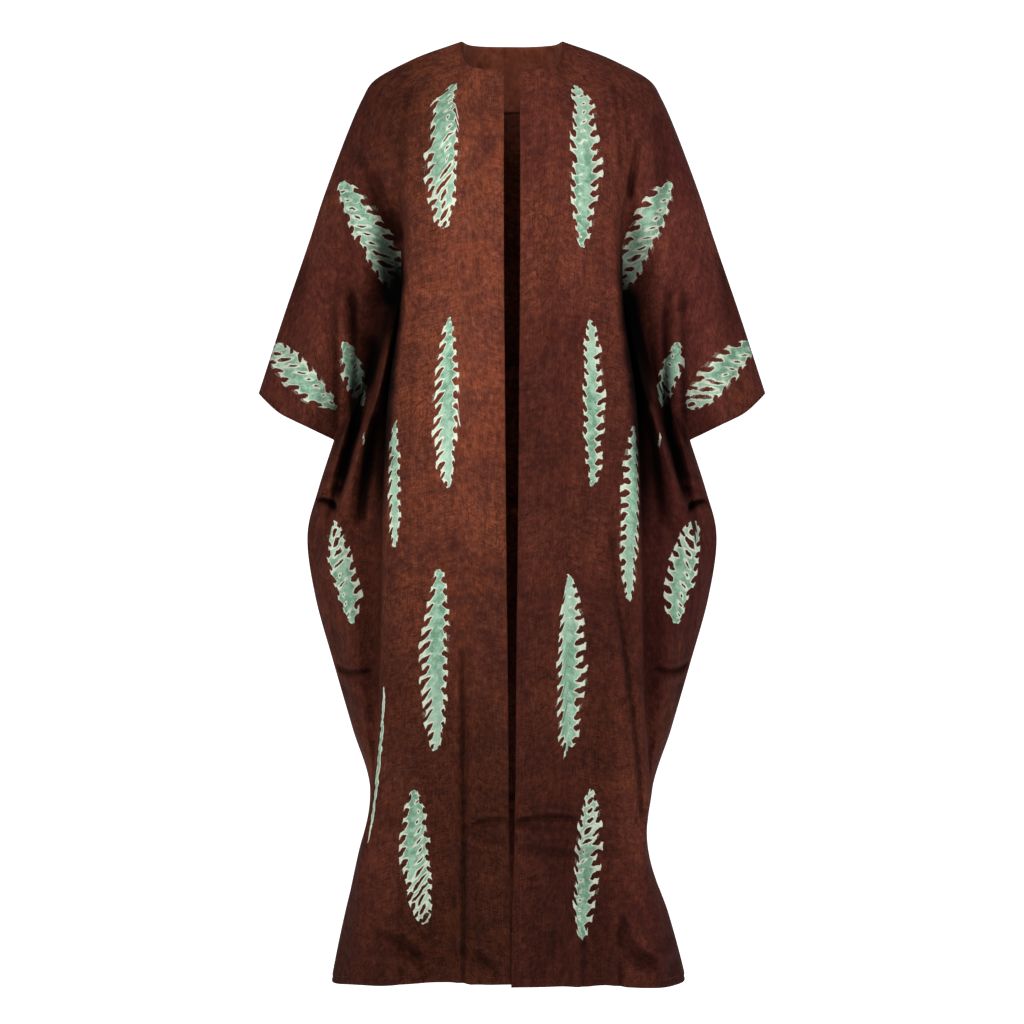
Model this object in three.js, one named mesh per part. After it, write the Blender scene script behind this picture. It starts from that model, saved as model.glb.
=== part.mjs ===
// A full-length open kimono robe, hollow, as it hangs on the shoulders of a general figure.
// Millimetres, +Z up, the wearer faces -Y and their left is +X. The origin is the middle of the shoulder
// line. It is cut in four pieces of cotton: a left and a right front, each in one with the front of its
// sleeve, the back in one with the back of both sleeves, and a facing inside the back neck.
import * as THREE from "three";

// Cloth and seams
const WALL = 2; // thickness of the cloth wall
const SEAM = 0.35; // each piece stands back this far from a seam
const FACING_WALL = 1.2; // the facing is a single turned layer
const FACING_GAP = 0.7; // from the back's inner side to the facing

// Neckline, from the middle of the front and of the back to the neck points
const NECK_HALF = 76; // neck point from the middle
const NECK_RISE = 1; // the neck points stand this far above the origin
const NECK_U = 0.12; // where the neck point lies along a section
const ROUND = { from: 0.02, to: 0.32 }; // between these shares the seam comes to lie on a rounded shoulder
const FRONT_NECK = { depth: 50, reach: 72, power: 0.5, reachPower: 0.75 };
const BACK_NECK = { depth: -2, reach: 68, power: 0.7, reachPower: 0.8 };
const SHOULDER = { at: 0.23, out: 0.6, down: 0.5 }; // a point of the shoulder line, in shares to the arm

// The lines that each section passes through, with their share of the section and of its fall to the side
const LINES = [
  { name: "edge", at: 0, fall: 0 },
  { name: "crest", at: 0.3, fall: 0 },
  { name: "valley", at: 0.36, fall: 0.06 },
  { name: "ridge", at: 0.5, fall: 0.35 },
  { name: "tuck", at: 0.6, fall: 0.5 },
  { name: "sleeve", at: 0.8, fall: 0.75 },
  { name: "side", at: 1, fall: 1 },
];
const MID_AT = 0.15; // between edge and crest a section is rounded by one more point
const MID_SHARE = 0.28; // of the way from the edge's depth to the crest's

// Sections of half the robe, from the shoulder line to the hem. Each gives its drop down the centre edge, the
// height of that edge in front and at the back, the height of the side, and each line's [x, y in front, y at
// the back].
const SECTIONS = [
  { drop: 0, front: -58, back: -58, end: -527, edge: [12, 0, 0], crest: [207, 0, 0],
    valley: [225, 0, 0], ridge: [279, 0, 0], tuck: [302, 0, 0], sleeve: [342, 0, 0],
    side: [380, 0, 0] },
  { drop: 75, front: -115, back: -94, end: -557, edge: [12, -104, 96], crest: [190, -72, 68],
    valley: [206, -72, 66], ridge: [250, -62, 60], tuck: [272, -60, 60], sleeve: [312, -60, 60],
    side: [347, -60, 60] },
  { drop: 150, front: -190, back: -178, end: -576, edge: [12, -122, 106], crest: [166, -100, 90],
    valley: [180, -88, 78], ridge: [216, -62, 58], tuck: [238, -60, 58], sleeve: [277, -72, 72],
    side: [310, -74, 74] },
  { drop: 222, front: -262, back: -258, end: -597, edge: [12, -130, 110], crest: [156, -108, 96],
    valley: [164, -48, 42], ridge: [190, -14, 14], tuck: [206, -12, 12], sleeve: [236, -22, 22],
    side: [267, 0, 0] },
  { drop: 350, front: -390, back: -390, end: -672, edge: [11.5, -128, 110], crest: [162, -107, 94],
    valley: [165, -40, 36], ridge: [190, -72, 64], tuck: [217, -16, 14], sleeve: [254, -36, 34],
    side: [291, 0, 0] },
  { drop: 500, front: -540, back: -540, end: -742, edge: [10.5, -126, 109], crest: [182, -106, 92],
    valley: [180, -42, 38], ridge: [224, -72, 64], tuck: [246, -24, 20], sleeve: [276, -30, 28],
    side: [307, 0, 0] },
  { drop: 650, front: -690, back: -690, end: -832, edge: [9, -127, 111], crest: [188, -105, 94],
    valley: [192, -52, 46], ridge: [262, -60, 54], tuck: [275, -50, 44], sleeve: [287, -32, 28],
    side: [295, 0, 0] },
  { drop: 800, front: -840, back: -840, end: -930, edge: [7.5, -129, 116], crest: [189, -105, 96],
    valley: [196, -58, 52], ridge: [238, -58, 52], tuck: [250, -48, 42], sleeve: [261, -28, 24],
    side: [268, 0, 0] },
  { drop: 945, front: -985, back: -985, end: -1030, edge: [6, -133, 124], crest: [193, -106, 100],
    valley: [197, -62, 58], ridge: [221, -52, 48], tuck: [229, -42, 38], sleeve: [236, -24, 20],
    side: [239, 0, 0] },
  { drop: 1070, front: -1110, back: -1110, end: -1125, edge: [5, -138, 134], crest: [203, -107, 104],
    valley: [200, -68, 64], ridge: [207, -44, 40], tuck: [210, -30, 28], sleeve: [211, -14, 13],
    side: [211, 0, 0] },
  { drop: 1170, front: -1210, back: -1210, end: -1218, edge: [3.5, -143, 143], crest: [206, -113, 112],
    valley: [213, -84, 82], ridge: [215, -52, 50], tuck: [214, -34, 32], sleeve: [213, -16, 15],
    side: [213, 0, 0] },
  { drop: 1260, front: -1300, back: -1300, end: -1304, edge: [2.2, -148, 152], crest: [217, -120, 120],
    valley: [232, -88, 88], ridge: [240, -52, 52], tuck: [241, -34, 34], sleeve: [241, -16, 16],
    side: [240, 0, 0] },
  { drop: 1355, front: -1395, back: -1395, end: -1406, edge: [1.2, -152, 160], crest: [228, -128, 128],
    valley: [252, -92, 94], ridge: [261, -52, 54], tuck: [262, -34, 36], sleeve: [262, -16, 17],
    side: [261, 0, 0] },
];
// How far the hem stands above (+) or below (-) its section along its length, on the wearer's left and right
const HEM = [
  { at: 0, left: -2, right: 2 },
  { at: 0.15, left: -1, right: 0 },
  { at: 0.3, left: -5, right: -1 },
  { at: 0.36, left: -4, right: -4 },
  { at: 0.5, left: 7, right: 6 },
  { at: 1, left: 6, right: 6 },
];
const HEM_REACH = 95; // the hem's line fades out this far above it

const CUFF_SECTION = 3; // the sleeve mouth ends here and the side seam begins
const CUFF_CORNER_FROM = 0.8; // the corner between them sharpens from this share of a section to the side
const CUFF_DROP = SECTIONS[CUFF_SECTION].drop;
const HEM_DROP = SECTIONS[SECTIONS.length - 1].drop;

// The skirt hangs a little towards the wearer's right: how far at each height
const SWAY = [
  { z: -1060, by: 0 },
  { z: -1130, by: -2 },
  { z: -1200, by: -12 },
  { z: -1300, by: -8 },
  { z: -1410, by: -5 },
];
const SWAY_REACH = 150; // it grows from the middle to this far out

// Soft folds that hang in the panels, a row for each: its layer, its two ends, its half width and how far the
// cloth stands in (+) or out (-) along it. x is positive on the wearer's left.
const FOLDS = [
  { on: "front", x: -68, z: -880, toX: -88, toZ: -1540, width: 24, by: 14 },
  { on: "front", x: -124, z: -1200, toX: -100, toZ: -1540, width: 40, by: 30 },
  { on: "front", x: -116, z: -560, toX: -104, toZ: -1260, width: 26, by: 7 },
  { on: "front", x: -150, z: -960, toX: -196, toZ: -1540, width: 22, by: -9 },
  { on: "front", x: 72, z: -150, toX: 82, toZ: -800, width: 20, by: 10 },
  { on: "front", x: 148, z: -640, toX: 212, toZ: -1230, width: 16, by: 16 },
  { on: "front", x: 120, z: -640, toX: 186, toZ: -1230, width: 22, by: -8 },
  { on: "front", x: 120, z: -880, toX: 152, toZ: -1540, width: 24, by: 13 },
  { on: "front", x: 90, z: -1100, toX: 106, toZ: -1540, width: 16, by: -7 },
  { on: "back", x: 0, z: -280, toX: -12, toZ: -1540, width: 40, by: 20 },
  { on: "back", x: -70, z: -440, toX: -98, toZ: -1540, width: 30, by: -14 },
  { on: "back", x: 80, z: -380, toX: 112, toZ: -1540, width: 34, by: -16 },
  { on: "back", x: -132, z: -560, toX: -172, toZ: -1540, width: 26, by: 16 },
  { on: "back", x: 144, z: -640, toX: 180, toZ: -1540, width: 24, by: 14 },
];
const FOLD_ENDS = 130; // over this length a fold fades at each end
const FOLD_FULL = 90; // folds are full this far from the plane of the side seams and fade to none in it

// How many steps the grid takes from one line to the next, and from one section to the next
const COLUMN_STEPS = [4, 3, 4, 4, 3, 4, 3];
const COLUMN_STOPS = [0, NECK_U, 0.3, 0.36, 0.5, 0.6, 0.8, 1];
const ROW_STEPS = [5, 3, 4, 3, 3, 3, 2, 2, 2, 3, 2, 2];

const smooth = (t) => {
  const s = Math.min(1, Math.max(0, t));
  return s * s * (3 - 2 * s);
};

// Cubic through values at knots, each slope the weighted mean of the slopes on its two sides.
// ends.first, where given, is the slope at the first knot. At the knot ends.corner the two sides keep slopes
// of their own, as far as ends.sharp (0 to 1) says.
function cubic(knots, values, t, ends = {}) {
  const last = knots.length - 1;
  let i = 0;
  while (i < last - 1 && t > knots[i + 1]) i++;
  const step = (k) => knots[k + 1] - knots[k];
  const rise = (k) => (values[k + 1] - values[k]) / step(k);
  const slope = (k) => {
    if (k === 0) return ends.first ?? rise(0);
    if (k === last) return rise(last - 1);
    const mean = (rise(k - 1) * step(k) + rise(k) * step(k - 1)) / (step(k - 1) + step(k));
    return k === ends.corner ? mean + (rise(i) - mean) * ends.sharp : mean;
  };
  const h = step(i);
  const s = (t - knots[i]) / h;
  const s2 = s * s;
  const s3 = s2 * s;
  return (
    (2 * s3 - 3 * s2 + 1) * values[i] +
    (s3 - 2 * s2 + s) * h * slope(i) +
    (3 * s2 - 2 * s3) * values[i + 1] +
    (s3 - s2) * h * slope(i + 1)
  );
}

// The neckline of one layer, a squared oval from the middle (share 0) to the neck point (share 1)
function neckline(neck, halfGap, share, side) {
  const angle = (Math.PI / 2) * share;
  const out = Math.sin(angle) ** neck.power;
  const inner = Math.max(0, Math.cos(angle));
  return [
    halfGap + (NECK_HALF - halfGap) * out,
    side * neck.reach * inner ** neck.reachPower,
    NECK_RISE - (NECK_RISE + neck.depth) * inner ** neck.power,
  ];
}

// A point of one section of one layer. u runs from the centre edge (0) to the side (1).
function sectionPoint(layer, row, u) {
  const front = layer === "front";
  const section = SECTIONS[row];
  const halfGap = front ? section.edge[0] : 0;
  if (row === 0 && u < NECK_U) {
    const share = u / NECK_U;
    return front ? neckline(FRONT_NECK, halfGap, share, -1) : neckline(BACK_NECK, halfGap, share, 1);
  }
  const layerY = front ? 1 : 2;
  const top = front ? section.front : section.back;
  const stops = LINES.map((line) => ({
    at: line.at,
    x: section[line.name][0],
    y: section[line.name][layerY],
    z: top + (section.end - top) * line.fall,
  }));
  const [edge, crest] = stops;
  edge.x = halfGap;
  const middle = {
    at: MID_AT,
    x: (edge.x + crest.x) / 2,
    y: edge.y + (crest.y - edge.y) * MID_SHARE,
    z: edge.z,
  };
  if (row === 0) {
    // The shoulder line, from the neck point out: straight in plan, a little steeper towards the arm
    Object.assign(edge, { at: NECK_U, x: NECK_HALF, z: NECK_RISE });
    Object.assign(middle, { at: SHOULDER.at, x: edge.x + (crest.x - edge.x) * SHOULDER.out });
    middle.z = edge.z + (crest.z - edge.z) * SHOULDER.down;
  }
  stops.splice(1, 0, middle);
  const knots = stops.map((s) => s.at);
  return ["x", "y", "z"].map((axis) => cubic(knots, stops.map((s) => s[axis]), u));
}

// How far the folds of a layer move the cloth towards its inside at x, z
function foldDepth(layer, x, z) {
  let depth = 0;
  for (const fold of FOLDS) {
    if (fold.on !== layer) continue;
    const along = (fold.z - z) / (fold.z - fold.toZ);
    if (along <= 0 || along >= 1) continue;
    const off = (x - (fold.x + (fold.toX - fold.x) * along)) / fold.width;
    const ends = smooth((fold.z - z) / FOLD_ENDS) * smooth((z - fold.toZ) / FOLD_ENDS);
    depth += fold.by * Math.exp(-off * off) * ends;
  }
  return depth;
}

// How far the robe's middle line has swayed sideways at height z
function swayAt(z) {
  if (z >= SWAY[0].z) return 0;
  return cubic(SWAY.map((s) => -s.z), SWAY.map((s) => s.by), -z, { first: 0 });
}

// The outer face of one layer on one side (1 the wearer's left, -1 the right): a net of sections joined by
// cubics from the shoulder to the hem, rounded over the shoulder and arm, with the folds let into it.
function outerPoint(layer, side, u, drop) {
  const knots = SECTIONS.map((s) => s.drop);
  const points = SECTIONS.map((s, row) => sectionPoint(layer, row, u));
  const over = sectionPoint(layer === "front" ? "back" : "front", 1, u);
  const round = smooth((u - ROUND.from) / (ROUND.to - ROUND.from));
  const sharp = smooth((u - CUFF_CORNER_FROM) / (1 - CUFF_CORNER_FROM));
  const [x, y, z] = [0, 1, 2].map((axis) => {
    const straight = (points[1][axis] - points[0][axis]) / knots[1];
    const across = (points[1][axis] - over[axis]) / (2 * knots[1]);
    const first = straight + (across - straight) * round;
    return cubic(knots, points.map((p) => p[axis]), drop, { first, corner: CUFF_SECTION, sharp });
  });
  const sway = swayAt(z) * Math.min(1, x / SWAY_REACH);
  const inwards = (layer === "front" ? 1 : -1) * smooth(Math.abs(y) / FOLD_FULL);
  const hem = cubic(HEM.map((h) => h.at), HEM.map((h) => (side > 0 ? h.left : h.right)), u);
  const lift = hem * smooth((drop - HEM_DROP + HEM_REACH) / HEM_REACH);
  return new THREE.Vector3(side * x + sway, y + inwards * foldDepth(layer, side * x, z), z + lift);
}

const onShoulderSeam = (u, drop) => drop === 0 && u >= NECK_U;
const onSideSeam = (u, drop) => u === 1 && drop >= CUFF_DROP;

// The outward direction of the cloth, from its slopes along and down. At a seam both layers share one.
const NEAR = { u: 0.002, drop: 0.5 };
function outwards(layer, side, u, drop) {
  const before = outerPoint(layer, side, Math.max(0, u - NEAR.u), drop);
  const after = outerPoint(layer, side, Math.min(1, u + NEAR.u), drop);
  const above = outerPoint(layer, side, u, Math.max(0, drop - NEAR.drop));
  const below = outerPoint(layer, side, u, Math.min(HEM_DROP, drop + NEAR.drop));
  const normal = after.sub(before).cross(below.sub(above));
  if ((layer === "front") === (side > 0)) normal.negate();
  if (onShoulderSeam(u, drop) || onSideSeam(u, drop)) normal.y = 0;
  return normal.normalize();
}

// Values from one stop to the next with the given number of steps between them
function spaced(stops, steps) {
  const values = [stops[0]];
  steps.forEach((count, i) => {
    for (let k = 1; k <= count; k++) values.push(stops[i] + ((stops[i + 1] - stops[i]) * k) / count);
  });
  return values;
}

const COLUMNS = spaced(COLUMN_STOPS, COLUMN_STEPS);
const ROWS = spaced(SECTIONS.map((s) => s.drop), ROW_STEPS);

// The net of a panel: for each row, its columns' outer points and outward directions
function net(layer, spans) {
  return ROWS.map((drop) =>
    spans.map(({ side, u }) => {
      const point = outerPoint(layer, side, u, drop);
      if (onShoulderSeam(u, drop) || onSideSeam(u, drop)) point.y += layer === "front" ? -SEAM : SEAM;
      return { point, normal: outwards(layer, side, u, drop), side, u, drop };
    }),
  );
}

// A closed wall between two faces of a net, from `from` to `to` millimetres inside its outer points
function wall(rows, from, to) {
  const across = rows[0].length;
  const lastRow = rows.length - 1;
  const lastColumn = across - 1;
  const nodes = rows.flat();
  const inwards = ({ point, normal }, depth) => point.clone().addScaledVector(normal, -depth).toArray();
  const face = (depth) => nodes.flatMap((node) => inwards(node, depth));
  const outer = (r, c) => r * across + c;
  const inner = (r, c) => nodes.length + outer(r, c);
  const index = [];
  const quad = (a, b, c, d) => index.push(a, b, c, a, c, d);
  for (let r = 0; r < lastRow; r++) {
    for (let c = 0; c < lastColumn; c++) {
      quad(outer(r, c), outer(r + 1, c), outer(r + 1, c + 1), outer(r, c + 1));
      quad(inner(r, c), inner(r, c + 1), inner(r + 1, c + 1), inner(r + 1, c));
    }
    quad(outer(r + 1, 0), outer(r, 0), inner(r, 0), inner(r + 1, 0));
    quad(outer(r, lastColumn), outer(r + 1, lastColumn), inner(r + 1, lastColumn), inner(r, lastColumn));
  }
  for (let c = 0; c < lastColumn; c++) {
    quad(outer(0, c), outer(0, c + 1), inner(0, c + 1), inner(0, c));
    quad(outer(lastRow, c + 1), outer(lastRow, c), inner(lastRow, c), inner(lastRow, c + 1));
  }
  const geometry = new THREE.BufferGeometry();
  geometry.setAttribute("position", new THREE.Float32BufferAttribute([...face(from), ...face(to)], 3));
  geometry.setIndex(index);
  geometry.computeVertexNormals();
  return geometry;
}

function cloth(color, roughness) {
  return new THREE.MeshStandardMaterial({ color, roughness, metalness: 0, side: THREE.DoubleSide });
}
const BROWN = cloth(0x5c3028, 0.85);
const INNER_BROWN = cloth(0x5a3226, 0.9);

const robe = new THREE.Group();

function add(name, geometry, material) {
  const mesh = new THREE.Mesh(geometry, material);
  mesh.name = name;
  robe.add(mesh);
}

// Seen from outside a panel, its columns run from left to right, so that its faces point outwards
const onLeft = COLUMNS.map((u) => ({ side: 1, u }));
const onRight = COLUMNS.map((u) => ({ side: -1, u }));
const leftFront = onLeft;
const rightFront = onRight.toReversed();
const wholeBack = [...onLeft.toReversed(), ...onRight.slice(1)];

add("front_left", wall(net("front", leftFront), 0, WALL), BROWN);
add("front_right", wall(net("front", rightFront), 0, WALL), BROWN);
const backNet = net("back", wholeBack);
add("back", wall(backNet, 0, WALL), BROWN);

// The facing lies inside the back neck, on the back's own net, from the neck edge and the shoulder seams down
const FACING = { until: 0.18, depth: 75 };
const facingNet = backNet
  .filter((row) => row[0].drop <= FACING.depth)
  .map((row) => row.filter(({ u }) => u <= FACING.until));
add("back_neck_facing", wall(facingNet, WALL + FACING_GAP, WALL + FACING_GAP + FACING_WALL), INNER_BROWN);

export default robe;
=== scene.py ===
"""Kimono robe: its cloth, printed leaves and sewing, fitted over the CAD frame, and the studio around it."""

from dataclasses import dataclass

import bpy
import numpy as np
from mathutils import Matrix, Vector


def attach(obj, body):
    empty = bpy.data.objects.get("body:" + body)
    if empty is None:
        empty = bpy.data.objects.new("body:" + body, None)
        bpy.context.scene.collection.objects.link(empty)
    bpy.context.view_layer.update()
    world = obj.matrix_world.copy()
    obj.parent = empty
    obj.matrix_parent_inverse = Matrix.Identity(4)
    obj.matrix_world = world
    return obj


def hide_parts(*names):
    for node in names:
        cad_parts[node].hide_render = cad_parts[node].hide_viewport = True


bl_info = {
    "name": "Kimono robe",
    "version": (1, 0, 0),
    "blender": (4, 5, 0),
    "location": "View3D > Sidebar > Robe",
    "description": "Builds the robe's cloth, printed leaves, stitching and studio",
    "category": "Object",
}

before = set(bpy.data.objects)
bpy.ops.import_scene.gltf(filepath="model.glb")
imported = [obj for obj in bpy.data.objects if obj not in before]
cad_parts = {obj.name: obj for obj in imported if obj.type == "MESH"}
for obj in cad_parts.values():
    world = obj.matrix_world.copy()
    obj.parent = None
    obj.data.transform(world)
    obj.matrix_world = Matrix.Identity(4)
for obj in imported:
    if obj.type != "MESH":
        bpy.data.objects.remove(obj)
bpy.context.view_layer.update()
MM = 0.001

# The robe's form in millimetres, the same as in the CAD source.
# Half the robe is a net of lines, edge to side, across sections that follow each other from shoulder to hem.
LINE_AT = np.array([0, 0.3, 0.36, 0.5, 0.6, 0.8, 1])
LINE_FALL = np.array([0, 0, 0.06, 0.35, 0.5, 0.75, 1])
MID_AT = 0.15
MID_SHARE = 0.28

# Each section: drop, front z, back z, end z, then x, y in front and y at the back for every line
SECTIONS = (
    (0, -58, -58, -527, (12, 0, 0), (207, 0, 0), (225, 0, 0), (279, 0, 0), (302, 0, 0),
     (342, 0, 0), (380, 0, 0)),
    (75, -115, -94, -557, (12, -104, 96), (190, -72, 68), (206, -72, 66), (250, -62, 60),
     (272, -60, 60), (312, -60, 60), (347, -60, 60)),
    (150, -190, -178, -576, (12, -122, 106), (166, -100, 90), (180, -88, 78), (216, -62, 58),
     (238, -60, 58), (277, -72, 72), (310, -74, 74)),
    (222, -262, -258, -597, (12, -130, 110), (156, -108, 96), (164, -48, 42), (190, -14, 14),
     (206, -12, 12), (236, -22, 22), (267, 0, 0)),
    (350, -390, -390, -672, (11.5, -128, 110), (162, -107, 94), (165, -40, 36), (190, -72, 64),
     (217, -16, 14), (254, -36, 34), (291, 0, 0)),
    (500, -540, -540, -742, (10.5, -126, 109), (182, -106, 92), (180, -42, 38), (224, -72, 64),
     (246, -24, 20), (276, -30, 28), (307, 0, 0)),
    (650, -690, -690, -832, (9, -127, 111), (188, -105, 94), (192, -52, 46), (262, -60, 54),
     (275, -50, 44), (287, -32, 28), (295, 0, 0)),
    (800, -840, -840, -930, (7.5, -129, 116), (189, -105, 96), (196, -58, 52), (238, -58, 52),
     (250, -48, 42), (261, -28, 24), (268, 0, 0)),
    (945, -985, -985, -1030, (6, -133, 124), (193, -106, 100), (197, -62, 58), (221, -52, 48),
     (229, -42, 38), (236, -24, 20), (239, 0, 0)),
    (1070, -1110, -1110, -1125, (5, -138, 134), (203, -107, 104), (200, -68, 64), (207, -44, 40),
     (210, -30, 28), (211, -14, 13), (211, 0, 0)),
    (1170, -1210, -1210, -1218, (3.5, -143, 143), (206, -113, 112), (213, -84, 82),
     (215, -52, 50), (214, -34, 32), (213, -16, 15), (213, 0, 0)),
    (1260, -1300, -1300, -1304, (2.2, -148, 152), (217, -120, 120), (232, -88, 88),
     (240, -52, 52), (241, -34, 34), (241, -16, 16), (240, 0, 0)),
    (1355, -1395, -1395, -1406, (1.2, -152, 160), (228, -128, 128), (252, -92, 94),
     (261, -52, 54), (262, -34, 36), (262, -16, 17), (261, 0, 0)),
)
DROPS = np.array([row[0] for row in SECTIONS], float)
CUFF_SECTION = 3
CUFF_CORNER_FROM = 0.8
CUFF_DROP = DROPS[CUFF_SECTION]
HEM_DROP = DROPS[-1]

NECK_HALF = 76
NECK_RISE = 1
NECK_U = 0.12
ROUND = (0.02, 0.32)
SHOULDER_AT, SHOULDER_OUT, SHOULDER_DOWN = 0.23, 0.6, 0.5
NECKLINE = {  # depth, reach, power, reach's power
    "front": (50, 72, 0.5, 0.75),
    "back": (-2, 68, 0.7, 0.8),
}

HEM_AT = np.array([0, 0.15, 0.3, 0.36, 0.5, 1])
HEM_LIFT = {1: np.array([-2, -1, -5, -4, 7, 6]), -1: np.array([2, 0, -1, -4, 6, 6])}
HEM_REACH = 95
SWAY_AT = np.array([1060, 1130, 1200, 1300, 1410])
SWAY_BY = np.array([0, -2, -12, -8, -5])
SWAY_REACH = 150
FOLD_ENDS = 130
FOLD_FULL = 90

# Soft folds of the CAD: x and z of both ends, half width, how far the cloth stands in
FOLDS = {
    "front": (
        (-68, -880, -88, -1540, 24, 14), (-124, -1200, -100, -1540, 40, 30), (-116, -560, -104, -1260, 26, 7),
        (-150, -960, -196, -1540, 22, -9), (72, -150, 82, -800, 20, 10), (148, -640, 212, -1230, 16, 16),
        (120, -640, 186, -1230, 22, -8), (120, -880, 152, -1540, 24, 13), (90, -1100, 106, -1540, 16, -7),
    ),
    "back": (
        (0, -280, -12, -1540, 40, 20), (-70, -440, -98, -1540, 30, -14), (80, -380, 112, -1540, 34, -16),
        (-132, -560, -172, -1540, 26, 16), (144, -640, 180, -1540, 24, 14),
    ),
}

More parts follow.
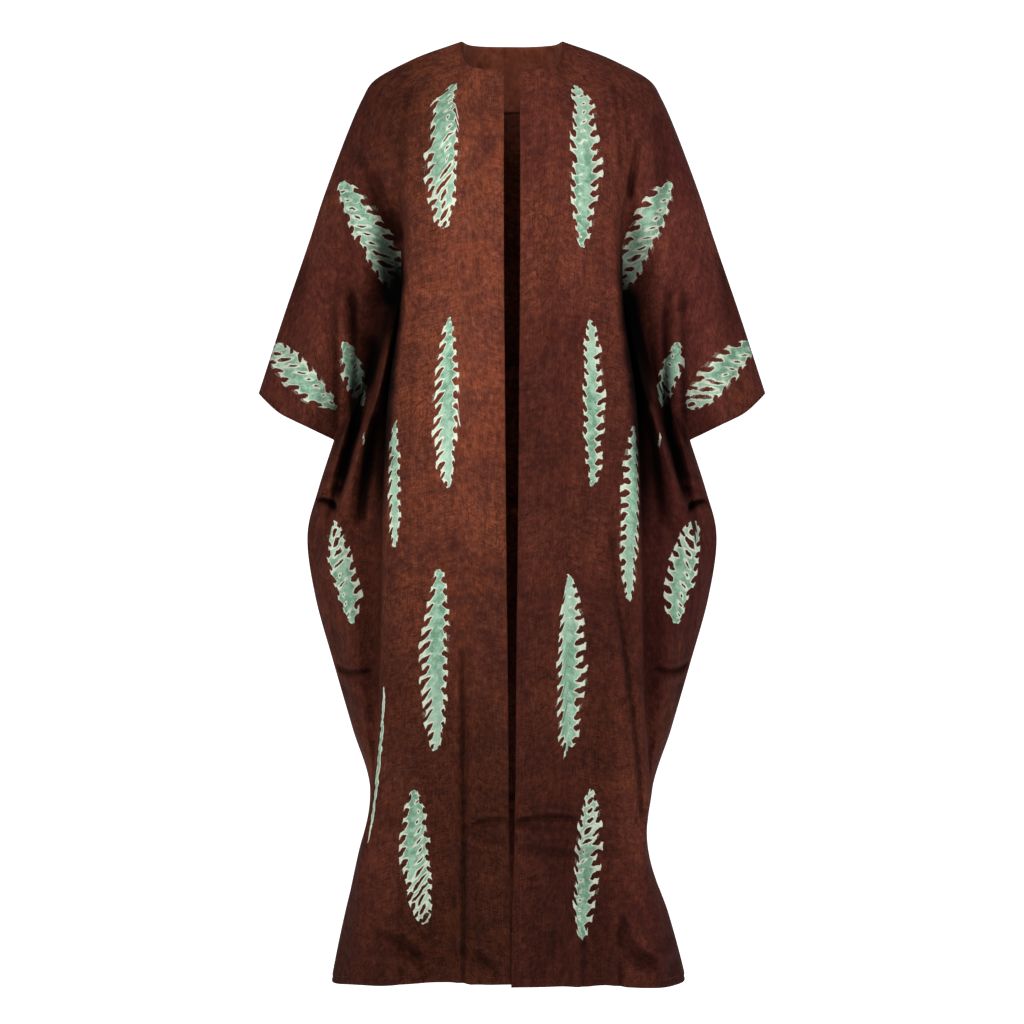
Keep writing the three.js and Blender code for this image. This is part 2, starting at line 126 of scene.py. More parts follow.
# Creases pressed into the cloth, smaller than the folds: x and z of both ends, how far the middle bows to
# +x or, on a level one, up, half width, depth (a ridge where negative), and the shares from the centre
# edge (0) to the side (1) that it stays between
CREASES = {
    "front": (
        # the wearer's right front, down the panel
        (-73, -905, -71, -1400, 2, 4.5, 3.2, 0, 0.34), (-64, -930, -60, -1400, 0, 7, -2.0, 0, 0.3),
        (-160, -1120, -163, -1400, 3, 6, 1.5, 0, 0.34), (-118, -1290, -120, -1400, 0, 9, 1.4, 0, 0.34),
        (-40, -120, -52, -420, -4, 16, 1.5, 0, 0.3), (-128, -110, -112, -330, 6, 12, 1.8, 0, 0.3),
        (-30, -700, -36, -960, 3, 14, -1.4, 0, 0.3), (-136, -380, -146, -620, -3, 9, 1.6, 0, 0.33),
        (-68, -1166, -4, -1152, 4, 5, 3.6, -0.1, 0.3), (-70, -1178, -12, -1194, -3, 5, -2.8, -0.1, 0.3),
        (-66, -1120, -14, -1128, 2, 9, -1.0, 0, 0.3), (-150, -900, -92, -935, -6, 5, 1.0, 0, 0.34),
        (-200, -1316, -130, -1360, 8, 9, 3.4, 0, 0.5), (-74, -1345, -22, -1375, 8, 8, 3.0, 0, 0.3),
        (-206, -1350, -140, -1372, 6, 7, -2.8, 0, 0.5), (-66, -1332, -20, -1305, 4, 6, -2.2, 0, 0.3),
        (-112, -470, -60, -500, 5, 7, 0.9, 0, 0.3), (-150, -780, -118, -860, 0, 6, 1.0, 0, 0.34),
        # the wearer's left front, down the panel
        (144, -735, 152, -826, 2, 5, 2.4, 0, 0.36), (152, -826, 189, -1150, 5, 5, 3.6, 0, 0.36),
        (104, -1316, 104, -1400, 1, 5, 2.6, 0, 0.34), (156, -1318, 158, -1400, 1, 5, 2.8, 0, 0.34),
        (131, -952, 138, -1100, 2, 10, 1.6, 0, 0.34), (4, -1156, 96, -1152, 4, 5, 3.8, -0.1, 0.3),
        (4, -1169, 84, -1171, -2, 5, -2.8, -0.1, 0.3), (10, -1192, 178, -1196, -6, 6, 2.0, 0, 0.4),
        (60, -1310, 40, -1380, 6, 8, 1.5, 0, 0.3), (70, -1345, 108, -1318, 6, 8, -1.6, 0, 0.34),
        (160, -1296, 214, -1364, -16, 10, 5.0, 0, 0.55), (214, -1366, 250, -1344, 4, 9, -3.4, 0, 0.6),
        (40, -150, 52, -520, 3, 15, 1.4, 0, 0.3), (130, -120, 118, -330, -5, 12, 1.8, 0, 0.3),
        (28, -560, 34, -900, -3, 14, -1.4, 0, 0.3), (120, -400, 132, -560, 0, 9, 1.3, 0, 0.33),
        (20, -880, 70, -905, 5, 7, 0.9, 0, 0.3), (60, -700, 110, -715, 4, 6, 0.9, 0, 0.3),
        # the sleeves in front
        (-205, -205, -180, -390, 6, 17, 3.6, 0.3, 0.75), (-212, -440, -232, -590, 4, 12, 2.4, 0.3, 0.8),
        (-249, -375, -251, -600, 2, 7, -4.2, 0.36, 1), (172, -380, 203, -545, -5, 17, 3.0, 0.3, 0.75),
        (204, -560, 226, -725, 2, 8, 1.4, 0.36, 0.92), (-202, -560, -226, -720, -2, 8, 2.6, 0.36, 0.92),
        (212, -520, 240, -710, 2, 8, -2.4, 0.4, 0.92), (-214, -520, -242, -710, -2, 8, -2.2, 0.4, 0.92),
        (240, -372, 249, -600, -3, 7, -3.8, 0.36, 1), (183, -158, 173, -240, 2, 5, 4.2, 0.25, 0.5),
        (-222, -180, -178, -290, 4, 10, 3.2, 0.3, 0.8), (214, -110, 213, -290, 3, 13, 3.0, 0.3, 0.7),
        (-150, -70, -166, -300, -5, 9, 3.0, 0.15, 0.42), (150, -68, 160, -200, 3, 4, 3.2, 0.12, 0.42),
        (163, -78, 172, -230, 3, 5, 2.6, 0.15, 0.42), (-232, -160, -244, -560, -4, 14, 2.0, 0.36, 1),
        (232, -160, 240, -560, 4, 14, 2.0, 0.36, 1), (-270, -230, -292, -600, -4, 12, -1.6, 0.5, 1),
        (274, -230, 298, -600, 4, 12, -1.6, 0.5, 1), (-310, -330, -338, -540, -3, 10, 1.4, 0.6, 1),
        (312, -330, 336, -540, 3, 10, 1.4, 0.6, 1), (-280, -330, -226, -400, -8, 9, 1.4, 0.42, 1),
        (282, -360, 232, -410, -8, 9, 1.3, 0.42, 1),
        # the slack cloth under the arms, in front
        (-296, -688, -262, -700, 6, 5, 4.4, 0.45, 1), (262, -702, 298, -690, 6, 5, 4.4, 0.45, 1),
        (-290, -668, -256, -660, 2, 5, -1.8, 0.45, 1), (256, -660, 292, -668, 2, 5, -1.8, 0.45, 1),
        (-262, -938, -212, -940, -4, 5, 4.2, 0.4, 1), (214, -938, 262, -934, -4, 5, 4.2, 0.4, 1),
        (-256, -960, -218, -972, 5, 6, -1.6, 0.4, 1), (214, -962, 256, -956, 5, 6, -1.6, 0.4, 1),
        (-280, -800, -250, -1020, 3, 12, 1.6, 0.5, 1), (276, -800, 246, -1020, -3, 12, 1.6, 0.5, 1),
        (-240, -1000, -206, -1060, 4, 8, 1.5, 0.4, 1), (236, -1000, 206, -1060, -4, 8, 1.5, 0.4, 1),
    ),
    "back": (
        # the back, where the photograph doesn't reach: creases of the same kinds
        (-40, -130, -58, -600, -4, 16, 1.6, 0, 0.3), (44, -140, 52, -640, 4, 15, 1.5, 0, 0.3),
        (-120, -90, -128, -360, -5, 11, 2.2, 0.1, 0.36), (122, -90, 132, -360, 5, 11, 2.2, 0.1, 0.36),
        (-30, -905, -36, -1400, 3, 6, 2.4, 0, 0.34), (58, -960, 66, -1400, -3, 6, 2.4, 0, 0.34),
        (-140, -1010, -150, -1400, 3, 7, 2.0, 0, 0.36), (150, -1060, 164, -1400, 3, 7, 2.0, 0, 0.36),
        (-100, -1160, 20, -1150, 6, 6, 1.8, 0, 0.3), (30, -1172, 118, -1166, -4, 5, 1.6, 0, 0.34),
        (-80, -480, 70, -470, -8, 10, 1.4, 0, 0.3), (-60, -700, 84, -712, 8, 9, 1.3, 0, 0.3),
        (110, -840, 40, -900, 6, 7, 1.2, 0, 0.3), (-118, -820, -50, -872, 6, 7, 1.2, 0, 0.3),
        (-186, -1300, -120, -1368, 8, 10, 2.4, 0, 0.5), (190, -1290, 130, -1366, 8, 10, 2.4, 0, 0.5),
        (-30, -1340, 40, -1372, 6, 8, 1.8, 0, 0.3), (-232, -160, -246, -560, -4, 14, 2.2, 0.36, 1),
        (232, -160, 246, -560, 4, 14, 2.2, 0.36, 1), (-276, -240, -298, -600, -4, 12, -1.8, 0.5, 1),
        (276, -240, 298, -600, 4, 12, -1.8, 0.5, 1), (-310, -330, -336, -540, -3, 10, 1.5, 0.6, 1),
        (310, -330, 336, -540, 3, 10, 1.5, 0.6, 1), (-296, -690, -256, -702, 6, 5, 3.0, 0.45, 1),
        (258, -704, 298, -694, 6, 5, 3.0, 0.45, 1), (-260, -930, -214, -940, -4, 6, 2.6, 0.4, 1),
        (216, -944, 262, -932, -4, 6, 2.6, 0.4, 1), (-278, -800, -246, -1020, 3, 12, 1.8, 0.5, 1),
        (278, -800, 248, -1020, -3, 12, 1.8, 0.5, 1),
    ),
}
CREASE_GAIN = {"front": 2.0, "back": 2.7}  # each layer's crease depths are scaled by this
CREASE_END, CREASE_END_MOST = 22, 0.4  # length over which its ends are eased, and its most as a share
CREASE_BORDER = 0.02  # how far the ease at the shares goes to each side of them
CREASE_FULL = 24  # creases fade out this close to the plane of the side seams
# The low lips that a crease raises beside itself: where they stand and how wide they are, in half widths
# of the crease, and their height as a share of its depth
LIP_AT, LIP_WIDTH, LIP_HEIGHT = 1.9, 0.8, 0.45
# Close to the hem the front edges meet: how far down that starts, over how long and how wide a stretch, and
# how far each edge moves across and back, the wearer's left one lying just in front
CLOSE_AT, CLOSE_REACH, CLOSE_U = 1190, 110, 0.08
CLOSE_BY = {1: (-2.3, -0.4), -1: (1.9, 2.2)}

# The painted shade of the folds, put into the cloth's colour: size of the height field's cells, how many of
# them the border has, in how many directions it looks, and how many cells away
SKY_CELL, SKY_BORDER, SKY_DIRECTIONS, SKY_STEPS = 5.0, 12, 12, (1, 2, 3, 5, 8, 12)
# Beyond the panel it fades out towards the side seam, over a share, and down the skirt's side, up to a drop
# and over a length
PANEL_U, SEAM_FADE_U = 0.36, 0.12
SKIRT_FADE_TO, SKIRT_FADE = 1130, 170
# It has only a part of its strength at the shoulders and loses a part again below the cuffs: how much, from
# which drop it changes, and over what length
SHOULDER_PART, SHOULDER_TO, SHOULDER_EASE = 0.25, 270, 130
LOWER_LOSS, LOWER_FROM, LOWER_EASE = 0.6, 620, 160
# How much painted shade a crease adds, taken from the open sky for each millimetre of its depth, and between
# which depths
CREASE_SHADE, CREASE_SHADE_RANGE = 0.055, (-1.5, 5)

# Printed leaves: x and z of the two ends, the finer tip first, the width, 1 or -1 for which side the long
# teeth are on, and the share from the centre edge that the leaf's cloth lies between
LEAVES = {
    "front": (
        (-86, -72, -99, -294, 58, 1, 0, 0.34), (-92, -418, -93, -672, 46, 1, 0, 0.34),
        (-106, -786, -110, -1053, 50, 1, 0, 0.34), (-141, -1108, -124, -1311, 52, 1, 0, 0.36),
        (-172, -572, -170, -760, 26, 1, 0, 0.36), (-187, -958, -210, -1194, 9, 1, 0.2, 0.49),
        (-256, -212, -162, -384, 56, -1, 0.28, 1), (-262, -552, -366, -450, 54, -1, 0.45, 1),
        (-248, -452, -222, -548, 36, 1, 0.3, 1), (-236, -872, -268, -716, 46, 1, 0.36, 1),
        (-222, -578, -216, -616, 5, 1, 0.3, 1), (102, -322, 92, -70, 54, 1, 0, 0.34),
        (115, -670, 113, -422, 40, 1, 0, 0.34), (83, -1051, 84, -792, 50, 1, 0, 0.34),
        (98, -1331, 118, -1108, 52, 1, 0, 0.36), (179, -577, 172, -838, 38, 1, 0, 0.4),
        (182, -1112, 190, -1150, 5, 1, 0.1, 0.4), (236, -214, 160, -376, 54, 1, 0.28, 1),
        (362, -450, 262, -552, 54, 1, 0.45, 1), (246, -452, 220, -550, 36, -1, 0.3, 1),
        (241, -872, 271, -716, 48, -1, 0.36, 1), (221, -578, 216, -616, 5, -1, 0.3, 1),
    ),
    "back": (
        (-64, -110, -66, -340, 54, 1, 0, 0.34), (66, -340, 64, -110, 54, 1, 0, 0.34),
        (-118, -330, -120, -570, 50, 1, 0, 0.34), (118, -570, 116, -330, 50, 1, 0, 0.34),
        (-40, -500, -44, -750, 50, 1, 0, 0.3), (44, -750, 42, -500, 50, 1, 0, 0.3),
        (-122, -740, -126, -990, 50, 1, 0, 0.34), (122, -990, 120, -740, 50, 1, 0, 0.34),
        (-42, -900, -46, -1150, 50, 1, 0, 0.3), (50, -1150, 46, -900, 50, 1, 0, 0.3),
        (-140, -1130, -148, -1350, 52, 1, 0, 0.36), (148, -1350, 140, -1130, 52, 1, 0, 0.36),
        (-254, -210, -176, -372, 54, -1, 0.28, 1), (254, -210, 176, -372, 54, 1, 0.28, 1),
        (-262, -552, -366, -450, 54, -1, 0.45, 1), (362, -450, 262, -552, 54, 1, 0.45, 1),
        (-236, -872, -268, -716, 52, 1, 0.36, 1), (241, -872, 271, -716, 52, -1, 0.36, 1),
    ),
}

PANEL_LEAF_TO = 0.5  # leaves that end before this share are a panel's and follow its cloth
LEAF_MARGIN = 6  # how far a leaf's faces go on beyond its ends
LEAF_SPREAD = 0.7  # how far they go to each side, as a share of its width
LEAF_FACING = 0.38  # a sleeve's or side's leaf stops where the normal's y is smaller than this,
LEAF_EDGE_U = 0.75  # except beyond this share
LEAF_STEP = 0.37  # from one leaf's number to the next one's

# The cloth's grids: the shares where the columns' spacing changes, how many steps lie between them, and how
# many rows there are
COLUMN_STOPS = (0, NECK_U, 0.3, PANEL_U, 0.5, 0.6, 0.8, 1)
FRONT_COLUMNS = (19, 34, 16, 24, 15, 18, 13)
BACK_COLUMNS = (12, 20, 10, 14, 9, 11, 8)
FRONT_ROWS = 296
BACK_ROWS = 232
SHOULDER_ROWS = 4  # more rows close to the shoulder
SLOPE_U, SLOPE_DROP = 0.002, 0.5  # steps over which the cloth's two slopes are measured

# Sewing: how far the cloth stands back at a seam, over which share and drop the over-arm and side seams'
# allowances start, and how the thickness of a turned edge falls off beyond its width
SEAM_BACK = 0.35
SEAM_START_U, SEAM_START = 0.02, 12
HEM_BEYOND, HEM_EASE = 0.5, 1.5
WEAVE_PITCH, WEAVE_HEIGHT = 0.0009, 0.00003  # of the plain weave, in metres
# The neck facing: its drop, its reach to the side, its columns and rows, its gap to the back's outer face,
# and its turned lower edge: how high, and how much thicker
FACING_DROP, FACING_U = 75, 0.18
FACING_COLUMNS, FACING_ROWS = (16, 10), 22
FACING_GAP, FACING_EDGE, FACING_TURN = 2.7, 4, 0.5
# The rows of stitches: how far in they run from the hem and the neck, the shares of those along the front
# edge and the cuff, and the drops or shares along each
HEM_STITCH, NECK_STITCH = 11.0, 8.0
EDGE_STITCH_U, CUFF_STITCH_U = 0.017, 0.972
EDGE_STITCHED = np.linspace(10, HEM_DROP - 3, 420)
HEM_STITCHED = np.linspace(0.012, 0.992, 420)
CUFF_STITCHED = np.linspace(2, CUFF_DROP - 2, 120)
NECK_STITCHED = np.linspace(0.004, NECK_U - 0.004, 90)

# The studio: radius of the dome that the camera sees, its steps round and up, height and half width of the
# floor, and for each lamp its name, place, size and setting
DOME_RADIUS, DOME_ROUND, DOME_UP = 16.0, 32, 16
FLOOR_Z, FLOOR_REACH = -1.86, 6.0
ROBE_MIDDLE = Vector((0, 0, -0.7))
LAMPS = (
    ("key_light", (-0.8, -2.3, 0.95), 1.1, "key_power"),
    ("fill_light", (2.0, -2.6, 0.4), 1.6, "fill_power"),
    ("back_light", (0.9, 2.5, 0.9), 1.4, "back_power"),
)


def smooth(t):
    """Eases from 0 to 1: 3 s^2 - 2 s^3, with s held between 0 and 1."""
    s = np.clip(t, 0, 1)
    return s * s * (3 - 2 * s)


def cubic(knots, values, t, first=None, corner=None, sharp=0.0):
    """Cubic through values at knots, read at t. The slope at a knot is the mean of the slopes on its two
    sides, each weighted by the other's length; first replaces the first one. At the knot called corner the
    two sides keep slopes of their own, as far as sharp says."""
    knots = np.asarray(knots, float)
    values = np.asarray(values, float)
    tail = (1,) * (values.ndim - 1)
    h = np.diff(knots).reshape(-1, *tail)
    rise = np.diff(values, axis=0) / h
    mean = (rise[:-1] * h[1:] + rise[1:] * h[:-1]) / (h[:-1] + h[1:])
    start = rise[:1] if first is None else np.broadcast_to(first, rise[:1].shape)
    slopes = np.concatenate([start, mean, rise[-1:]])
    leaving, reaching = slopes[:-1].copy(), slopes[1:].copy()
    if corner is not None:
        leaving[corner] += (rise[corner] - leaving[corner]) * sharp
        reaching[corner - 1] += (rise[corner - 1] - reaching[corner - 1]) * sharp
    t = np.asarray(t, float)
    i = np.searchsorted(knots[1:-1], t, "left")
    step = h[i]
    s = (t - knots[i]).reshape(*t.shape, *tail) / step
    s2, s3 = s * s, s * s * s
    return (
        (2 * s3 - 3 * s2 + 1) * values[i]
        + (s3 - 2 * s2 + s) * step * leaving[i]
        + (3 * s2 - 2 * s3) * values[i + 1]
        + (s3 - s2) * step * reaching[i]
    )


def neckline(layer, half_gap, share):
    """A squared oval from the middle (share 0) to the neck point (share 1): out by the sine of the share's
    quarter turn to a power, forward and down by its cosine to two powers."""
    depth, reach, power, reach_power = NECKLINE[layer]
    angle = np.pi / 2 * share
    out = np.sin(angle) ** power
    inner = np.maximum(0, np.cos(angle))
    side = -1 if layer == "front" else 1
    return np.stack(
        [
            half_gap + (NECK_HALF - half_gap) * out,
            side * reach * inner**reach_power,
            NECK_RISE - (NECK_RISE + depth) * inner**power,
        ],
        axis=-1,
    )


def section_points(layer, row, u):
    """One section of a layer at the shares u: a cubic through its lines' points and one more point between
    edge and crest. The first section is the neckline and then the shoulder line."""
    is_front = layer == "front"
    _, front_z, back_z, end_z, *lines = SECTIONS[row]
    lines = np.array(lines, float)
    top = front_z if is_front else back_z
    stops = np.stack([lines[:, 0], lines[:, 1 if is_front else 2], top + (end_z - top) * LINE_FALL], axis=1)
    half_gap = lines[0, 0] if is_front else 0.0
    stops[0, 0] = half_gap
    at = LINE_AT.copy()
    edge, crest = stops[0].copy(), stops[1]
    middle = np.array([(edge[0] + crest[0]) / 2, edge[1] + (crest[1] - edge[1]) * MID_SHARE, edge[2]])
    middle_at = MID_AT
    if row == 0:
        at[0], middle_at = NECK_U, SHOULDER_AT
        stops[0, 0], stops[0, 2] = NECK_HALF, NECK_RISE
        middle[0] = NECK_HALF + (crest[0] - NECK_HALF) * SHOULDER_OUT
        middle[2] = NECK_RISE + (crest[2] - NECK_RISE) * SHOULDER_DOWN
    at = np.insert(at, 1, middle_at)
    stops = np.insert(stops, 1, middle, axis=0)
    points = cubic(at, stops, u)
    if row == 0:
        neck = neckline(layer, half_gap, np.clip(u / NECK_U, 0, 1))
        points = np.where((u < NECK_U)[:, None], neck, points)
    return points


def fold_depth(layer, x, z):
    """The sum over the layer's folds of by * exp(-(distance from its line / width)^2), eased at its ends."""
    depth = np.zeros_like(x)
    for x0, z0, x1, z1, width, by in FOLDS[layer]:
        along = (z0 - z) / (z0 - z1)
        off = (x - (x0 + (x1 - x0) * along)) / width
        ends = smooth((z0 - z) / FOLD_ENDS) * smooth((z - z1) / FOLD_ENDS)
        depth += by * np.exp(-off * off) * ends
    return depth


def crease_depth(layer, u, x, z):
    """The sum over the layer's creases of depth * (a trough of their width with a low lip on each side),
    eased at the ends, along a line whose middle bows sideways by a parabola."""
    depth = np.zeros_like(x)
    for x0, z0, x1, z1, bow, width, by, low, high in CREASES[layer]:
        dx, dz = x1 - x0, z1 - z0
        length = np.hypot(dx, dz)
        dx, dz = dx / length, dz / length
        along = ((x - x0) * dx + (z - z0) * dz) / length
        across = (x - x0) * -dz + (z - z0) * dx
        lean = -dz if abs(dz) > abs(dx) else dx
        off = (across - np.sign(lean) * bow * 4 * along * (1 - along)) / width
        lips = np.exp(-(((np.abs(off) - LIP_AT) / LIP_WIDTH) ** 2))
        trough = np.exp(-off * off) - LIP_HEIGHT * lips
        ease = min(CREASE_END_MOST, CREASE_END / length)
        ends = smooth((along + ease / 2) / ease) * smooth((1 + ease / 2 - along) / ease)
        from_low, from_high = u - low + CREASE_BORDER, high + CREASE_BORDER - u
        inside = smooth(from_low / (2 * CREASE_BORDER)) * smooth(from_high / (2 * CREASE_BORDER))
        depth += CREASE_GAIN[layer] * by * trough * ends * inside
    return depth


# Slow waves of the hanging cloth: for each its radians per metre across and down, its phase and its height,
# and what each layer's phases are multiplied by
WAVES = np.random.default_rng(11).uniform((30, 8, 0, 0.35), (110, 42, 6.28, 0.8), (9, 4))
WAVE_TURN = {"front": 1.7, "back": 4.1}


def wave_depth(layer, x, z):
    """A sum of nine slanted sine waves, longer down the cloth than across it."""
    depth = np.zeros_like(x)
    for k, (across, down, phase, height) in enumerate(WAVES):
        lean = 1 if k % 2 else -1
        depth += height * np.sin(across * x * MM + lean * down * z * MM + phase * WAVE_TURN[layer])
    return depth


def robe_points(layer, side, u, drop, creased=True):
    """The outer face of one layer on one side (1 the wearer's left, -1 the right), in millimetres, for
    every drop and every share u: a cubic down through the sections, rounded over shoulder and arm, then
    swayed, folded, lifted at the hem and, where creased is set, given its small creases and waves."""
    u, drop = np.atleast_1d(u).astype(float), np.atleast_1d(drop).astype(float)
    net = np.stack([section_points(layer, row, u) for row in range(len(SECTIONS))])
    over = section_points("back" if layer == "front" else "front", 1, u)
    straight = (net[1] - net[0]) / DROPS[1]
    across = (net[1] - over) / (2 * DROPS[1])
    first = straight + (across - straight) * smooth((u - ROUND[0]) / (ROUND[1] - ROUND[0]))[:, None]
    sharp = smooth((u - CUFF_CORNER_FROM) / (1 - CUFF_CORNER_FROM))[:, None]
    points = cubic(DROPS, net, drop, first[None], CUFF_SECTION, sharp)
    x, y, z = points[..., 0], points[..., 1], points[..., 2]
    sway = np.where(z < -SWAY_AT[0], cubic(SWAY_AT, SWAY_BY, -z, 0.0), 0.0) * np.minimum(1, x / SWAY_REACH)
    inwards = 1 if layer == "front" else -1
    wide_u = np.broadcast_to(u, x.shape)
    deep = fold_depth(layer, side * x, z) * smooth(np.abs(y) / FOLD_FULL)
    if creased:
        fine = crease_depth(layer, wide_u, side * x + sway, z) + wave_depth(layer, side * x, z)
        deep = deep + fine * smooth(np.abs(y) / CREASE_FULL)
    lift = cubic(HEM_AT, HEM_LIFT[side], u) * smooth((drop - HEM_DROP + HEM_REACH) / HEM_REACH)[:, None]
    moved = np.stack([side * x + sway, y + inwards * deep, z + lift], axis=-1)
    if layer == "front":
        near = (smooth((-z - CLOSE_AT) / CLOSE_REACH) * smooth(1 - u / CLOSE_U))[..., None]
        moved = moved + near * np.array([*CLOSE_BY[side], 0])
    return moved


def on_seams(u, drop):
    """Which points of a grid lie on the over-arm seam or on the side seam."""
    over_arm = (drop == 0)[:, None] & (u >= NECK_U)[None]
    side = (drop >= CUFF_DROP)[:, None] & (u == 1)[None]
    return over_arm | side


def robe_normals(layer, side, u, drop):
    """The outward direction at every drop and share: the cross product of the two slopes, level across a
    seam."""
    u, drop = np.atleast_1d(u).astype(float), np.atleast_1d(drop).astype(float)
    after = robe_points(layer, side, np.minimum(1, u + SLOPE_U), drop)
    before = robe_points(layer, side, np.maximum(0, u - SLOPE_U), drop)
    below = robe_points(layer, side, u, np.minimum(HEM_DROP, drop + SLOPE_DROP))
    above = robe_points(layer, side, u, np.maximum(0, drop - SLOPE_DROP))
    normal = np.cross(after - before, below - above)
    if (layer == "front") == (side > 0):
        normal = -normal
    normal[..., 1] = np.where(on_seams(u, drop), 0, normal[..., 1])
    return normal / np.maximum(1e-9, np.linalg.norm(normal, axis=-1, keepdims=True))


def spaced(stops, steps):
    """Values from one stop to the next with the given number of steps between them."""
    parts = [np.linspace(a, b, n, endpoint=False) for a, b, n in zip(stops, stops[1:], steps)]
    return np.concatenate(parts + [np.array([stops[-1]], float)])


def row_drops(rows):
    """Drops from the shoulder to the hem, with every section's own drop among them and even steps between."""
    steps = np.maximum(2, np.round(np.diff(DROPS) / HEM_DROP * (rows - SHOULDER_ROWS)).astype(int))
    steps[0] += SHOULDER_ROWS
    return spaced(DROPS, steps)


class ClothGrid:
    """One layer of cloth worked out on a grid: rows of drops, columns running left to right as seen from
    outside, each column with its side and its share from the centre edge. It knows the lengths along each
    row from the centre edge, creased and uncreased, and down each column."""

    def __init__(self, layer, columns, drop):
        """columns is a list of (side, shares), in the order that they stand in across the piece."""
        self.layer, self.drop = layer, np.asarray(drop, float)
        self.u = np.concatenate([shares for _, shares in columns])
        self.side = np.concatenate([np.full(len(shares), side) for side, shares in columns])
        self.points = np.concatenate([robe_points(layer, s, shares, drop) for s, shares in columns], axis=1)
        self.normals = np.concatenate([robe_normals(layer, s, shares, drop) for s, shares in columns], axis=1)
        self.seams = on_seams(self.u, self.drop)
        smoothed = [robe_points(layer, s, shares, drop, creased=False) for s, shares in columns]
        self.along_row = self.row_lengths(self.points)
        self.flat_run = self.row_lengths(np.concatenate(smoothed, axis=1))
        fall = np.linalg.norm(np.diff(self.points, axis=0), axis=-1)
        self.down = np.concatenate([np.zeros((1, len(self.u))), np.cumsum(fall, axis=0)], axis=0)

    def row_lengths(self, points):
        """Lengths added up along each row and counted from the centre edge, with the side's sign."""
        lengths = np.linalg.norm(np.diff(points, axis=1), axis=-1)
        total = np.concatenate([np.zeros((len(points), 1)), np.cumsum(lengths, axis=1)], axis=1)
        centre = int(np.argmin(self.u))
        return total - total[:, centre : centre + 1]

    def edge_distance(self):
        """How far each point is from the nearest open edge: front edge, neck, cuff or hem."""
        drop, u = self.drop[:, None], self.u[None]
        ends = np.where(self.side > 0, self.end_column(1), self.end_column(-1))
        to_side = np.abs(np.abs(self.along_row) - np.abs(self.along_row[:, ends]))
        distance = self.down[-1:] - self.down
        distance = np.minimum(distance, np.where(drop < CUFF_DROP, to_side, np.inf))
        distance = np.minimum(distance, np.where(u < NECK_U, self.down, np.inf))
        if self.layer == "front":
            distance = np.minimum(distance, np.abs(self.along_row))
        return distance

    def end_column(self, side):
        """The column furthest out on a side, or on the only side that there is."""
        sides = np.where(self.side == side)[0]
        sides = sides if len(sides) else np.arange(len(self.u))
        return sides[int(np.argmax(self.u[sides]))]


def grid_faces(rows, columns):
    """The quads of a closed wall between an outer and an inner grid: both grids and the strips that close
    their four borders. Points are numbered row by row, the inner grid after the outer one."""
    r, c = np.meshgrid(np.arange(rows - 1), np.arange(columns - 1), indexing="ij")
    a, b = (r * columns + c).ravel(), ((r + 1) * columns + c).ravel()
    outer = np.stack([a, b, b + 1, a + 1], axis=1)
    count = rows * columns
    inner = outer[:, ::-1] + count
    left = np.arange(rows) * columns
    right = left + columns - 1
    top = np.arange(columns)
    bottom = top + (rows - 1) * columns

    def strip(start, end):
        return np.stack([start, end, end + count, start + count], axis=1)

    return np.concatenate([
        outer, inner, strip(left[1:], left[:-1]), strip(right[:-1], right[1:]),
        strip(top[:-1], top[1:]), strip(bottom[1:], bottom[:-1]),
    ])


def new_piece(name, points, faces, uvs, material):
    """A mesh object at the origin from whole arrays of points (metres) and faces, with its UV maps."""
    mesh = bpy.data.meshes.new(name)
    faces = np.asarray(faces, np.int32)
    mesh.vertices.add(len(points))
    mesh.vertices.foreach_set("co", np.asarray(points, np.float32).ravel())
    mesh.loops.add(faces.size)
    mesh.loops.foreach_set("vertex_index", faces.ravel())
    mesh.polygons.add(len(faces))
    mesh.polygons.foreach_set("loop_start", np.arange(0, faces.size, faces.shape[1], dtype=np.int32))
    for title, values in uvs.items():
        layer = mesh.uv_layers.new(name=title)
        layer.data.foreach_set("uv", np.asarray(values, np.float32).ravel())
    mesh.update(calc_edges=True)
    mesh.validate()
    mesh.polygons.foreach_set("use_smooth", np.ones(len(mesh.polygons), bool))
    mesh.materials.append(material)
    piece = bpy.data.objects.new(name, mesh)
    bpy.context.collection.objects.link(piece)
    return piece


